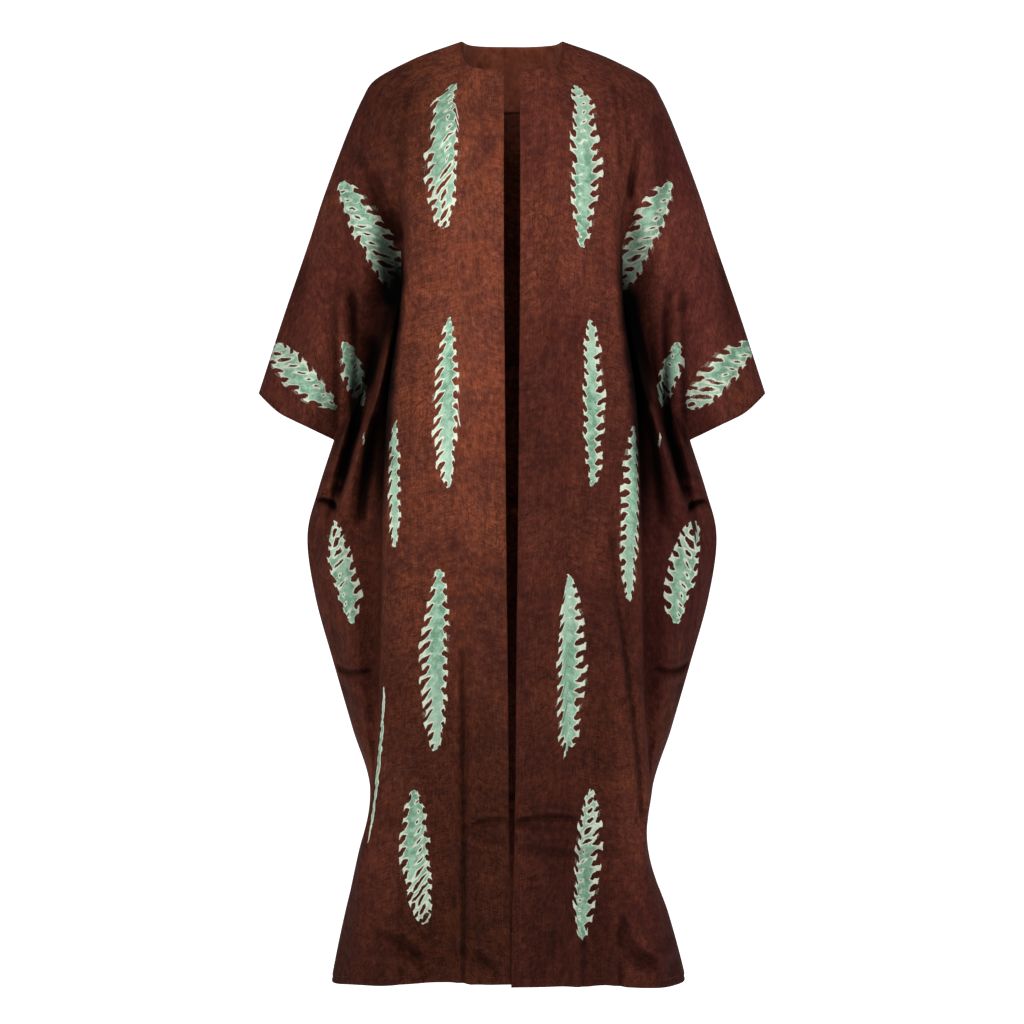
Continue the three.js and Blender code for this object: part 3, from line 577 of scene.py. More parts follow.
def leaf_maps(grid, pad, corners):
    """The leaf coordinates of every face corner. A panel's leaves are laid out by the lengths along the
    uncreased row and down the column, so they go round a fold as the cloth does; the leaves of sleeves and
    sides are laid as the front or back view shows them. Each face takes the one leaf that it lies in: its
    distance along and across, the leaf's length and width, and its number."""
    shape = corners.shape
    place = np.full(shape + (2,), -1.0)
    size = np.ones(shape + (2,))
    number = np.zeros(shape + (2,))
    x, z = grid.points[..., 0], grid.points[..., 2]
    facing = (np.abs(grid.normals[..., 1]) > LEAF_FACING) | (grid.u > LEAF_EDGE_U)
    flip, first = (1, 0) if grid.layer == "front" else (-1, len(LEAVES["front"]))
    for index, (x0, z0, x1, z1, width, turn, low, high) in enumerate(LEAVES[grid.layer], first):
        side = 1 if x0 + x1 > 0 else -1
        if side not in grid.side:
            continue
        own = np.broadcast_to((grid.side == side) & (grid.u >= low) & (grid.u <= high), x.shape)
        in_panel = high < PANEL_LEAF_TO
        lie = np.stack([grid.flat_run * flip, -grid.down] if in_panel else [x, z], axis=-1)
        ends = []
        for at_x, at_z in ((x0, z0), (x1, z1)):
            away = np.hypot(x - at_x, z - at_z) + np.where(own, 0, np.inf)
            nearest = lie[np.unravel_index(np.argmin(away), away.shape)]
            ends.append(nearest if in_panel else np.array([at_x, at_z]))
        axis = ends[1] - ends[0]
        length = np.hypot(*axis)
        axis = axis / length
        off = lie - ends[0]
        along, across = off @ axis, off @ np.array([-axis[1], axis[0]]) * turn
        inside = own & (along > -LEAF_MARGIN) & (along < length + LEAF_MARGIN)
        inside = inside & (np.abs(across) < width * LEAF_SPREAD) & (facing | in_panel)
        inside, along, across = (np.pad(v, pad, mode="edge").ravel() for v in (inside, along, across))
        chosen = inside[corners].all(axis=1)
        place[chosen] = np.stack([along, across], axis=-1)[corners[chosen]] * MM
        size[chosen] = np.array([length, width]) * MM
        number[chosen] = (index * LEAF_STEP + 1, 1)
    return {"leaf": place, "leaf_size": size, "leaf_number": number}


def height_field(grid):
    """The layer as heights on even cells, with the lowest column and row: the mean of the points in a cell,
    and empty cells filled from those around them, ring by ring."""
    toward = -1 if grid.layer == "front" else 1
    column, row = (np.round(grid.points[..., k] / SKY_CELL).astype(int) for k in (0, 2))
    low_x, low_z = column.min() - SKY_BORDER, row.min() - SKY_BORDER
    shape = (row.max() - low_z + SKY_BORDER + 1, column.max() - low_x + SKY_BORDER + 1)
    total, count = np.zeros(shape), np.zeros(shape)
    np.add.at(total, (row - low_z, column - low_x), toward * grid.points[..., 1])
    np.add.at(count, (row - low_z, column - low_x), 1)
    for _ in range(2 * SKY_BORDER):
        around = [np.roll(v, k, axis) for axis in (0, 1) for k in (-1, 1) for v in (total, count)]
        empty = count == 0
        total = np.where(empty, sum(around[0::2]), total)
        count = np.where(empty, sum(around[1::2]), count)
    return total / np.maximum(1, count), low_x, low_z


def open_sky(grid):
    """How much of the sky above its own slope each point of the cloth sees, 0 to 1. On the layer's height
    field, in each direction the steepest rise to a neighbour, less the cloth's own slope, gives the
    horizon, and the mean of the cosines squared is the share. It counts less at the shoulders, below the
    cuffs and, beyond the panel, by the side seam and on the skirt's side."""
    lift, low_x, low_z = height_field(grid)
    slope_z, slope_x = ((np.roll(lift, -2, k) - np.roll(lift, 2, k)) / (4 * SKY_CELL) for k in (0, 1))
    sky = np.zeros_like(lift)
    for angle in np.arange(SKY_DIRECTIONS) * np.pi / (SKY_DIRECTIONS // 2):
        steepest = np.zeros_like(lift)
        for cells in SKY_STEPS:
            dz, dx = int(round(np.sin(angle) * cells)), int(round(np.cos(angle) * cells))
            moved = np.roll(lift, (-dz, -dx), axis=(0, 1))
            rise = (moved - lift) / (np.hypot(dz, dx) * SKY_CELL)
            steepest = np.maximum(steepest, rise - (slope_z * dz + slope_x * dx) / np.hypot(dz, dx))
        sky += 1 / (1 + steepest**2) / SKY_DIRECTIONS
    for axis in (0, 1, 0, 1):
        sky = (np.roll(sky, 1, axis) + 2 * sky + np.roll(sky, -1, axis)) / 4

    x, drop = grid.points[..., 0] / SKY_CELL, -grid.points[..., 2]
    fx = np.clip(x - low_x, 0, lift.shape[1] - 2)
    fz = np.clip(-drop / SKY_CELL - low_z, 0, lift.shape[0] - 2)
    cx, cz = fx.astype(int), fz.astype(int)
    sx, sz = fx - cx, fz - cz
    lower, upper = (sky[cz + k, cx] * (1 - sx) + sky[cz + k, cx + 1] * sx for k in (0, 1))
    share = lower * (1 - sz) + upper * sz
    beyond = smooth((SKIRT_FADE_TO - drop) / SKIRT_FADE) * smooth((1 - grid.u) / SEAM_FADE_U)
    above = SHOULDER_PART + (1 - SHOULDER_PART) * smooth((drop - SHOULDER_TO) / SHOULDER_EASE)
    below = 1 - LOWER_LOSS * smooth((drop - LOWER_FROM) / LOWER_EASE)
    return 1 - (1 - share) * np.where(grid.u < PANEL_U, 1, beyond) * above * below


def upright(directions):
    """Directions with their y taken out, as seen from the front, at unit length."""
    flat = directions * (1, 0, 1)
    return flat / np.maximum(1e-6, np.linalg.norm(flat, axis=-1, keepdims=True))


def cloth_piece(name, grid, sizes, material):
    """A panel of cloth as a thin closed shell: the outer grid, and an inner one a cloth's thickness inside
    it, thicker where the open edges are turned in. Along a seam one more row or column turns inwards as
    the seam allowance."""
    turned = 1 - smooth((grid.edge_distance() - sizes.hem_width / MM - HEM_BEYOND) / HEM_EASE)
    thick = (sizes.cloth_thickness + (sizes.hem_thickness - sizes.cloth_thickness) * turned) / MM
    points, normals = grid.points.copy(), grid.normals
    points[..., 1] += np.where(grid.seams, -SEAM_BACK if grid.layer == "front" else SEAM_BACK, 0)
    walls = [points, points - normals * thick[..., None]]

    allowance = sizes.seam_allowance / MM
    reach = allowance * smooth((grid.u - NECK_U) / SEAM_START_U)[None, :, None]
    into = upright(normals[:1]) * reach
    walls = [np.concatenate([wall[:1] - into, wall]) for wall in walls]
    pad = [[1, 0], [0, 0]]
    reach = allowance * smooth((np.concatenate([[0], grid.drop]) - CUFF_DROP) / SEAM_START)[:, None]
    for column, place in ((0, 0), (-1, 1)):
        if grid.u[column] == 1:
            into = upright(np.concatenate([normals[:1, column], normals[:, column]])) * reach
            edges = [(wall[:, column] - into)[:, None] for wall in walls]
            pairs = zip(edges, walls) if column == 0 else zip(walls, edges)
            walls = [np.concatenate(pair, axis=1) for pair in pairs]
            pad[1][place] = 1

    rows, columns = walls[0].shape[:2]
    faces = grid_faces(rows, columns)
    corners = faces % (rows * columns)
    run, down = (np.pad(v, pad, mode="edge").ravel() for v in (grid.along_row, grid.down))
    uvs = {"cut": np.stack([run[corners], -down[corners]], axis=-1) * MM, **leaf_maps(grid, pad, corners)}
    both = np.concatenate([wall.reshape(-1, 3) for wall in walls]) * MM
    piece = new_piece(name, both, faces, uvs, material)

    # Painted shade: the open sky, less the creases' share, darkens the cloth's colour in its folds
    x, z = grid.points[..., 0], grid.points[..., 2]
    crease = crease_depth(grid.layer, np.broadcast_to(grid.u, x.shape), x, z)
    sky = open_sky(grid) - CREASE_SHADE * np.clip(crease, *CREASE_SHADE_RANGE)
    sky = np.tile(np.pad(sky, pad, mode="edge").ravel(), 2)
    shade = piece.data.attributes.new("open_sky", "FLOAT", "POINT")
    shade.data.foreach_set("value", sky.astype(np.float32))
    return piece


def facing_piece(name, sizes, material):
    """The back neck facing: a shaped strip on the back's own form, a facing's gap inside the back's wall,
    thicker along its turned lower edge."""
    shares = spaced((0, NECK_U, FACING_U), FACING_COLUMNS)
    drop = np.linspace(0, FACING_DROP, FACING_ROWS)
    grid = ClothGrid("back", [(1, shares[::-1]), (-1, shares[1:])], drop)
    points = grid.points.copy()
    points[..., 1] += np.where(grid.seams, SEAM_BACK, 0)
    lower_edge = 1 - smooth((grid.down[-1:] - grid.down - FACING_EDGE) / HEM_EASE)
    thick = sizes.facing_thickness / MM * (1 + FACING_TURN * lower_edge[..., None])
    faces = grid_faces(*points.shape[:2])
    corners = faces % grid.down.size
    uvs = {"cut": np.stack([grid.along_row.ravel()[corners], -grid.down.ravel()[corners]], axis=-1) * MM}
    inwards = (FACING_GAP, FACING_GAP + thick)
    both = np.concatenate([(points - grid.normals * by).reshape(-1, 3) for by in inwards]) * MM
    return new_piece(name, both, faces, uvs, material)


def stitch_line(layer, side, u, drop, sizes):
    """The points of a row of running stitches along a line of constant share or constant drop, and their
    outward directions: the line is measured, and each stitch starts and ends at its share of the length."""
    line = robe_points(layer, side, u, drop).reshape(-1, 3)
    out = robe_normals(layer, side, u, drop).reshape(-1, 3)
    length = np.concatenate([[0], np.cumsum(np.linalg.norm(np.diff(line, axis=0), axis=1))])
    pitch = (sizes.stitch_length + sizes.stitch_gap) / MM
    starts = np.arange(pitch / 2, length[-1] - pitch, pitch)
    at = starts[:, None] + np.array([0, 0.5, 1]) * sizes.stitch_length / MM
    points, normals = (
        np.stack([np.interp(at, length, v[:, k]) for k in range(3)], axis=-1) for v in (line, out)
    )
    return points, normals / np.linalg.norm(normals, axis=-1, keepdims=True)


def hem_cuff_and_neck(layer, side, hem_shares, sizes):
    """The three rows of stitches that both layers have."""
    return [
        stitch_line(layer, side, hem_shares, [HEM_DROP - HEM_STITCH], sizes),
        stitch_line(layer, side, [CUFF_STITCH_U], CUFF_STITCHED, sizes),
        stitch_line(layer, side, NECK_STITCHED, [NECK_STITCH], sizes),
    ]


def stitches_piece(name, lines, sizes, material):
    """Stitches as low four-sided threads: a ring of four points at the start, middle and end of each, the
    middle ring standing a little proud and the end rings sunk into the cloth."""
    points, normals = (np.concatenate(parts) for parts in zip(*lines))
    along = points[:, 2] - points[:, 0]
    along /= np.linalg.norm(along, axis=-1, keepdims=True)
    across = np.cross(along[:, None], normals)
    half = sizes.thread_width / MM / 2
    lift = half * np.array([-0.6, 0.35, -0.6])[None, :, None]
    swell = half * np.array([0.7, 1, 0.7])[None, :, None]
    middle = points + normals * lift
    ring = np.stack([middle + way * swell for way in (across, normals, -across, -normals)], axis=2)
    k = np.arange(4)
    n = (k + 1) % 4
    tube = [np.stack([k + 4 * i, n + 4 * i, n + 4 * i + 4, k + 4 * i + 4], axis=1) for i in (0, 1)]
    caps = [np.array([[3, 2, 1, 0]]), np.array([[8, 9, 10, 11]])]
    first = np.arange(len(points))[:, None, None] * 12
    faces = (first + np.concatenate(tube + caps)[None]).reshape(-1, 4)
    return new_piece(name, ring.reshape(-1, 3) * MM, faces, {}, material)


def math_method(operation, other_first=False):
    """A method of Value that adds one Math node; other_first puts the other number first, as in 1 - mask."""

    def method(self, *others):
        numbers = (*others, self) if other_first else (self, *others)
        node = put_node(self.tree, "Math", {"operation": operation}, dict(enumerate(numbers)))
        return Value(self.tree, node.outputs[0])

    return method


class Value:
    """A number that varies over a surface: a socket of a material's tree. Arithmetic adds Math nodes."""

    def __init__(self, tree, socket):
        self.tree = tree
        self.socket = socket

    __add__ = __radd__ = math_method("ADD")
    __sub__, __rsub__ = math_method("SUBTRACT"), math_method("SUBTRACT", other_first=True)
    __mul__ = __rmul__ = math_method("MULTIPLY")
    __truediv__, __rtruediv__ = math_method("DIVIDE"), math_method("DIVIDE", other_first=True)
    __pow__, __abs__ = math_method("POWER"), math_method("ABSOLUTE")
    lowest, highest = math_method("MINIMUM"), math_method("MAXIMUM")
    above, floor = math_method("GREATER_THAN"), math_method("FLOOR")
    root, sine = math_method("SQRT"), math_method("SINE")

    def __neg__(self):
        return self * -1

    def eased(self, start, end):
        """0 at start and 1 at end, with a smooth step between."""
        settings = {"interpolation_type": "SMOOTHSTEP"}
        inputs = {"Value": self, "From Min": start, "From Max": end, "To Min": 0.0, "To Max": 1.0}
        return Value(self.tree, put_node(self.tree, "MapRange", settings, inputs).outputs[0])


def put_node(tree, kind, settings=None, inputs=None):
    """Adds a shader node: its type, its settings, which are set first, then its sockets' values or links."""
    node = tree.nodes.new("ShaderNode" + kind)
    for name, value in (settings or {}).items():
        setattr(node, name, value)
    for key, value in (inputs or {}).items():
        socket = node.inputs[key]
        value = value.socket if isinstance(value, Value) else value
        if isinstance(value, bpy.types.NodeSocket):
            tree.links.new(value, socket)
        else:
            socket.default_value = value
    return node


def blend_colours(tree, factor, a, b, mode="MIX"):
    """Mixes two colours by a factor, each a colour or a socket."""
    colours = [(*c, 1) if isinstance(c, tuple) else c for c in (a, b)]
    settings = {"data_type": "RGBA", "blend_type": mode}
    return put_node(tree, "Mix", settings, {0: factor, 6: colours[0], 7: colours[1]}).outputs[2]


def toned(tree, colour, tone):
    """A colour multiplied by a varying number."""
    return blend_colours(tree, 1.0, colour, vector_of(tree, tone, tone, tone), "MULTIPLY")


def noise(tree, vector, scale, detail=2.0, rough=0.5, distort=0.0):
    """Perlin noise from 0 to 1 at a vector."""
    inputs = {"Vector": vector, "Scale": scale, "Detail": detail, "Roughness": rough, "Distortion": distort}
    return Value(tree, put_node(tree, "TexNoise", None, inputs).outputs[0])


def stretched(tree, vector, scale):
    """A vector scaled on each axis."""
    return put_node(tree, "Mapping", None, {"Vector": vector, "Scale": scale}).outputs[0]


def split(tree, vector):
    """The three parts of a vector."""
    return [Value(tree, part) for part in put_node(tree, "SeparateXYZ", None, {0: vector}).outputs]


def uv_parts(tree, name):
    """The two coordinates of one of the piece's own UV maps, and the map as a vector."""
    vector = put_node(tree, "UVMap", {"uv_map": name}).outputs[0]
    return *split(tree, vector)[:2], vector


def vector_of(tree, x, y, z):
    return put_node(tree, "CombineXYZ", None, {0: x, 1: y, 2: z}).outputs[0]


def dice(tree, x, y, z):
    """One random number from 0 to 1 for each whole cell."""
    node = put_node(tree, "TexWhiteNoise", None, {"Vector": vector_of(tree, x, y, z)})
    return Value(tree, node.outputs[0])


def linear(colour):
    """A colour as it looks on a screen (0 to 1) turned into the shader's linear values."""
    c = np.asarray(colour[:3], float)
    return tuple(float(v) for v in np.where(c <= 0.04045, c / 12.92, ((c + 0.055) / 1.055) ** 2.4))


def new_material(name, roughness, sheen):
    """A cloth material: its tree and its shader, with the settings that are the same all over it."""
    material = bpy.data.materials.new(name)
    material.use_nodes = True
    tree = material.node_tree
    shader = tree.nodes["Principled BSDF"]
    shader.inputs["Roughness"].default_value = roughness
    shader.inputs["Specular IOR Level"].default_value = 0.05
    shader.inputs["Sheen Weight"].default_value = sheen
    shader.inputs["Sheen Roughness"].default_value = 0.5
    shader.inputs["Sheen Tint"].default_value = (1, 0.75, 0.65, 1)
    return material, tree, shader


def weave_height(tree, run, down, pitch):
    """A plain weave: warp and weft as sines of their own direction, each over the other in turn."""
    warp_turn, weft_turn = run * (2 * np.pi / pitch), down * (2 * np.pi / pitch)
    over = ((warp_turn * 0.5).sine() * (weft_turn * 0.5).sine()).above(0.0)
    return warp_turn.sine() * over + weft_turn.sine() * (1 - over)


def link_relief(tree, shader, height, strength):
    """Turns a height in metres into the shader's normal."""
    bump = put_node(tree, "Bump", None, {"Height": height, "Distance": 1.0, "Strength": strength})
    tree.links.new(bump.outputs[0], shader.inputs["Normal"])


def leaf_teeth(tree, s, t, p, half, broad, number, seed):
    """The distance from the leaf's body and its slanted teeth, in metres. The body takes the broad share of
    the half width; the teeth have knobbed ends and gaps that narrow inwards, and are longer on one side.
    Also gives how far out along its tooth each point is, 0 to 1."""
    away = abs(t)
    long_side = (-t).above(0.0)
    slow = noise(tree, vector_of(tree, s, long_side * 3.1, seed), 14.0, 1.0)
    pitch = 0.0172
    slant = 0.2 + p * 0.85 + long_side * (0.25 - p * 0.35)
    phase = (s - away * slant) / pitch + long_side * 0.43 + number
    cell = phase.floor()
    true_scale = 1 / (slant * slant + 1).root()
    centre = abs(phase - cell - 0.5) * pitch * true_scale
    chance = dice(tree, cell * 1.7, long_side * 5.3, seed)
    body = half * broad * (0.7 + slow * 0.6)
    reach = body + (half * (0.78 + chance * 0.34) - body).highest(0.0) * (0.55 + long_side * 0.45)
    out = ((away - body) / (reach - body).highest(0.0015)).highest(0.0).lowest(1.0)
    taper = (1 - out) ** 3.0 * pitch * 0.4
    knob = out.eased(0.6, 1.0) * 0.0013
    thick = 0.0020 + chance * 0.0008 + knob + taper
    return (centre - thick).highest(away - reach), out


def leaf_eyes(tree, s, t, p, half, length, width, number, seed):
    """How deep each point is in one of the slanted eyes that the print leaves open along the leaf's line,
    in metres and negative outside. They are larger towards the lower end, and fewer in a narrow leaf."""
    pitch, slant = 0.0150, 0.75
    phase = (s + t * slant) / pitch + 0.93 + number
    cell = phase.floor()
    off = abs(phase - cell - 0.5) * pitch * 0.8
    low = p.eased(0.5, 0.8)
    chance = dice(tree, cell * 2.3, 9.1, seed)
    tall = half * (0.16 + low * 0.3) * (0.3 + chance * 1.1)
    wide = 0.0015 + low * 0.0022
    from_line = abs(t - width * (0.07 - low * 0.1))
    eye = ((off / wide) ** 2 + (from_line / tall.highest(0.0008)) ** 2).root() - 1
    few = (1 - width / length * 4.4).highest(0.0) * 0.03
    return -(eye * wide) - few


def leaf_shape(tree):
    """The printed leaf as a distance in metres, negative inside it: teeth and body, less the eyes, with the
    coordinates shifted by two noises. p runs along the leaf from 0 at the fine tip to 1, and the body is
    broader in a broader leaf. Also gives the place within the leaf, p, and the way out along the tooth."""
    along, across, _ = uv_parts(tree, "leaf")
    length, width, _ = uv_parts(tree, "leaf_size")
    number, printed, _ = uv_parts(tree, "leaf_number")
    seed = number * 7.31
    place = vector_of(tree, along, across, seed)
    s, t = along, across
    for scale, shift in ((55.0, 0.009), (170.0, 0.0035)):
        inputs = {"Vector": place, "Scale": scale, "Detail": 1.0, "Roughness": 0.5}
        wobble = put_node(tree, "TexNoise", None, inputs).outputs[1]
        parts = put_node(tree, "SeparateColor", None, {0: wobble})
        s = s + (Value(tree, parts.outputs[0]) - 0.5) * shift
        t = t + (Value(tree, parts.outputs[1]) - 0.5) * shift
    p = (s / length).highest(0.0).lowest(1.0)
    half = width * 0.5 * (p * (1 - p) * 4).highest(0.0001) ** 0.55
    broad = (width / length * 2.6 - 0.22).highest(0.22).lowest(0.46) + (0.02 - width).highest(0.0) * 40
    shape, out = leaf_teeth(tree, s, t, p, half, broad, number, seed)
    shape = shape.highest(leaf_eyes(tree, s, t, p, half, length, width, number, seed))
    within = p.eased(0.0, 0.012) * (1 - p.eased(0.988, 1.0)) * printed
    return shape + (1 - within), vector_of(tree, s, t, seed), p, out


def mixed(tree, base, layers):
    """A colour with others laid over it in turn, each by its own factor."""
    for factor, colour in layers:
        base = blend_colours(tree, factor, base, linear(colour))
    return base


@dataclass(frozen=True)
class DyeLook:
    """How one panel is coloured: overall tone, the tone at the hem and where the painted shade towards it
    starts (metres down), how strong the pale cracks are, how far it goes to plum, how much open sky a fold
    needs to keep any colour under its painted shade, and painted pools of light: for each its x, z, half
    width, half height and gain."""

    tone: float
    # painted shade: the tone at the hem, darker than above, where the lamps reach less
    hem_shade_tone: float
    hem_shade_from: float
    cracks: float
    plum: float
    # painted shade in the folds: the open sky below which a fold's colour goes to black
    closed: float
    # painted pools of light, and of shade where the gain is negative
    light_pools: tuple


# Each panel's tones, with its painted shade towards the hem and in the folds, and its painted pools of light
LOOKS = {
    "left": DyeLook(tone=0.67, hem_shade_tone=0.5, hem_shade_from=0.45, cracks=0.35, plum=0.5, closed=0.1, light_pools=(
        (0.08, -0.18, 0.2, 0.42, 0.6), (0.3, -0.36, 0.16, 0.4, 0.55), (0.2, -1.2, 0.09, 0.28, 0.8))),
    "right": DyeLook(tone=0.66, hem_shade_tone=0.42, hem_shade_from=0.48, cracks=0.4, plum=0.05, closed=0.1, light_pools=(
        (-0.05, -0.36, 0.145, 0.78, 1.05), (-0.3, -0.42, 0.12, 0.3, 0.2), (-0.2, -1.2, 0.09, 0.28, 0.7),
        (-0.13, -0.78, 0.08, 0.25, 0.3), (-0.18, -0.14, 0.12, 0.2, -0.22))),
    "back": DyeLook(tone=0.70, hem_shade_tone=0.5, hem_shade_from=0.5, cracks=0.45, plum=0.25, closed=0.12, light_pools=(
        (-0.02, -0.4, 0.2, 0.6, 0.4),)),
}


def dyed_ground(tree, place, side, cut, colours, look):
    """Browns mixed by large, middle and small mottling, going to plum at the sides, with pale worm-like
    cracks of the wax and dark veins. Also gives the large and the middle mottling."""
    large = noise(tree, place, 6.0, 2.0, 0.55)
    patch = noise(tree, place, 27.0, 3.0, 0.6)
    mottle = noise(tree, place, 120.0, 2.0, 0.65)
    veins = abs(noise(tree, place, 17.0, 2.0, 0.6) - 0.5)
    veins = (1 - veins.eased(0.002, 0.018)) * large.eased(0.42, 0.56) * patch.eased(0.4, 0.6)
    crackle = noise(tree, cut, 170.0, 1.0, 0.5, 0.4)
    worms = 1 - abs(crackle - 0.5).eased(0.01, 0.08)
    lines = 1 - abs(crackle - 0.62).eased(0.008, 0.035)
    beside = abs(side).eased(0.14, 0.24)
    plum = (beside * 0.5 + look.plum).lowest(1.0) * (1 - large.eased(0.5, 0.75) * 0.7)
    clear = 1 - plum * 0.6
    ground = mixed(tree, linear(colours.ground), (
        (patch.eased(0.36, 0.64), colours.ground_red),
        (plum, colours.ground_plum),
        (mottle.eased(0.42, 0.75) * 0.6, colours.ground_dark),
        ((1 - mottle.eased(0.24, 0.5)) * clear * 0.5, colours.ground_light),
        (worms * large.eased(0.35, 0.6) * clear * look.cracks, colours.ground_light),
        (veins * 0.6, colours.ground_dark),
        (lines * patch.eased(0.42, 0.58) * 0.4, colours.ground_dark),
    ))
    return ground, large, patch


def printed_leaf(tree, colours):
    """The leaf's mint with darker blots and paler flecks, paler towards its lower end, and its cream edge.
    Also gives where the leaf is, 0 or 1."""
    shape, place, p, out = leaf_shape(tree)
    edge = (1 - (-shape).eased(0.0010, 0.0026)).highest(out.eased(0.25, 0.8))
    blot = noise(tree, place, 75.0, 3.0, 0.65)
    speck = noise(tree, place, 420.0, 1.0)
    leaf = mixed(tree, linear(colours.leaf_dark), (
        (blot.eased(0.36, 0.66), colours.leaf),
        (speck.eased(0.5, 0.8) * 0.35, colours.leaf_pale),
        (p.eased(0.45, 0.9) * 0.4, colours.leaf_pale),
        (edge * 0.85, colours.leaf_edge),
    ))
    return leaf, 1 - shape.eased(-0.0004, 0.0004)


def painted_light_gain(side, height, light_pools):
    """Painted light: the sum over the soft pools of gain * (1 - (distance from the middle / half size)^2)^2,
    a negative gain painting shade.
    """
    painted_light = 0.0
    for x0, z0, wide, tall, gain in light_pools:
        off = (((side - x0) / wide) ** 2 + ((height - z0) / tall) ** 2).lowest(1.0)
        painted_light = (1 - off) ** 2 * gain + painted_light
    return painted_light


def cloth_material(name, colours, look):
    """Dyed cotton with a printed leaf, and faint threads down and across. Both carry painted shade, darker
    where the folds close and towards the hem, and painted light in soft pools. Roughness follows the dye, and
    the normal a plain weave and fine rumples."""
    material, tree, shader = new_material(name, 0.85, 0.0)
    place = put_node(tree, "TexCoord").outputs["Object"]
    run, down, cut = uv_parts(tree, "cut")
    side, _, height = split(tree, place)
    sky = Value(tree, put_node(tree, "Attribute", {"attribute_name": "open_sky"}).outputs["Fac"])
    warp_slub = noise(tree, stretched(tree, cut, (560, 42, 1)), 1.0, 1.0)
    weft_slub = noise(tree, stretched(tree, cut, (42, 560, 1)), 1.0, 1.0)
    streaks = noise(tree, stretched(tree, cut, (60, 3.5, 1)), 1.0, 2.0)
    ground, large, patch = dyed_ground(tree, place, side, cut, colours, look)
    leaf, printed = printed_leaf(tree, colours)

    # painted light: soft pools that lighten the colour, and darken it where the gain is negative
    painted_light = painted_light_gain(side, height, look.light_pools)
    fibre = (warp_slub + weft_slub) * 0.95 + 0.05
    # painted shade: the colour darkens towards the hem, where the lamps reach less
    fall = 1 - (-height).eased(look.hem_shade_from, 1.4) * (1 - look.hem_shade_tone)
    # painted shade: the folds darken the colour as their open sky closes
    fold = sky.eased(look.closed, 0.93) ** 2.0
    cloudy = 0.6 + patch * 0.45 + large * 0.4
    tone = fibre * fall * cloudy * (0.7 + streaks * 0.6) * (1 + painted_light) * fold * look.tone
    leaf_tone = (0.75 + fibre * 0.25) * (0.72 + 0.28 * fall) * (1.0 + painted_light * 0.25) * fold
    colour = blend_colours(tree, printed, toned(tree, ground, tone), toned(tree, leaf, leaf_tone))
    tree.links.new(colour, shader.inputs["Base Color"])
    tree.links.new((0.8 + patch * 0.12).socket, shader.inputs["Roughness"])

    rumple = noise(tree, stretched(tree, cut, (26, 10, 1)), 1.0, 2.0, 0.6)
    crinkle = noise(tree, stretched(tree, cut, (60, 75, 1)), 1.0, 2.0, 0.65)
    weave = weave_height(tree, run, down, WEAVE_PITCH) * WEAVE_HEIGHT
    link_relief(tree, shader, rumple * 0.005 + crinkle * 0.0016 + weave, 0.75)
    return material


def facing_material(name, colours):
    """Plain dyed cotton of the neck facing: two browns mottled, faint threads, and a plain weave."""
    material, tree, shader = new_material(name, 0.85, 0.1)
    place = put_node(tree, "TexCoord").outputs["Object"]
    run, down, cut = uv_parts(tree, "cut")
    middle = noise(tree, place, 30.0, 3.0, 0.6)
    threads = noise(tree, stretched(tree, cut, (800, 40, 1)), 1.0, 1.0)
    mottle = noise(tree, place, 130.0, 2.0, 0.6)
    base = blend_colours(tree, middle.eased(0.3, 0.7), linear(colours.facing), linear(colours.ground_red))
    base = blend_colours(tree, mottle.eased(0.45, 0.75) * 0.5, base, linear(colours.ground_dark))
    tree.links.new(toned(tree, base, 0.8 + threads * 0.55), shader.inputs["Base Color"])
    tree.links.new((0.8 + middle * 0.12).socket, shader.inputs["Roughness"])
    crinkle = noise(tree, stretched(tree, cut, (60, 40, 1)), 1.0, 3.0)
    weave = weave_height(tree, run, down, WEAVE_PITCH) * WEAVE_HEIGHT
    link_relief(tree, shader, crinkle * 0.0008 + weave, 0.7)
    return material


def thread_material(name, colours):
    """Sewing thread a little redder than the cloth, with a fine mottling along it."""
    material, tree, shader = new_material(name, 0.6, 0.1)
    place = put_node(tree, "TexCoord").outputs["Object"]
    ply = noise(tree, place, 900.0, 1.0)
    base = blend_colours(tree, ply.eased(0.3, 0.7), linear(colours.thread), linear(colours.ground))
    tree.links.new(base, shader.inputs["Base Color"])
    return material


def backdrop_material(name, strength):
    """Pale paper that gives off its own soft light, so that it stays white behind the robe."""
    material = bpy.data.materials.new(name)
    material.use_nodes = True
    shader = material.node_tree.nodes["Principled BSDF"]
    shader.inputs["Base Color"].default_value = (0.9, 0.9, 0.9, 1)
    shader.inputs["Roughness"].default_value = 0.95
    shader.inputs["Emission Color"].default_value = (1, 1, 1, 1)
    shader.inputs["Emission Strength"].default_value = strength
    return material


def colour_prop(name, description, default):
    return bpy.props.FloatVectorProperty(
        name=name, description=description, default=default, subtype="COLOR", size=3, min=0, max=1
    )


def length_prop(name, description, default, least=0.0):
    return bpy.props.FloatProperty(
        name=name, description=description, default=default, min=least, unit="LENGTH", precision=5
    )


def light_prop(name, description, default):
    return bpy.props.FloatProperty(name=name, description=description, default=default, min=0)


class RobeSizes(bpy.types.PropertyGroup):
    """Sizes of the cloth and its sewing."""

    cloth_thickness: length_prop("Cloth thickness", "Thickness of the single cloth", 0.0011)
    hem_thickness: length_prop("Hem thickness", "Thickness where an open edge is turned in", 0.0019)
    hem_width: length_prop("Hem width", "How wide the turned edges are", 0.013)
    facing_thickness: length_prop("Facing thickness", "Thickness of the neck facing", 0.0009)
    seam_allowance: length_prop("Seam allowance", "How far seam edges turn inside", 0.009)
    stitch_length: length_prop("Stitch length", "Length of a stitch", 0.0032)
    stitch_gap: length_prop("Stitch gap", "Gap between stitches", 0.0014)
    thread_width: length_prop("Thread width", "Width of the sewing thread", 0.0005)


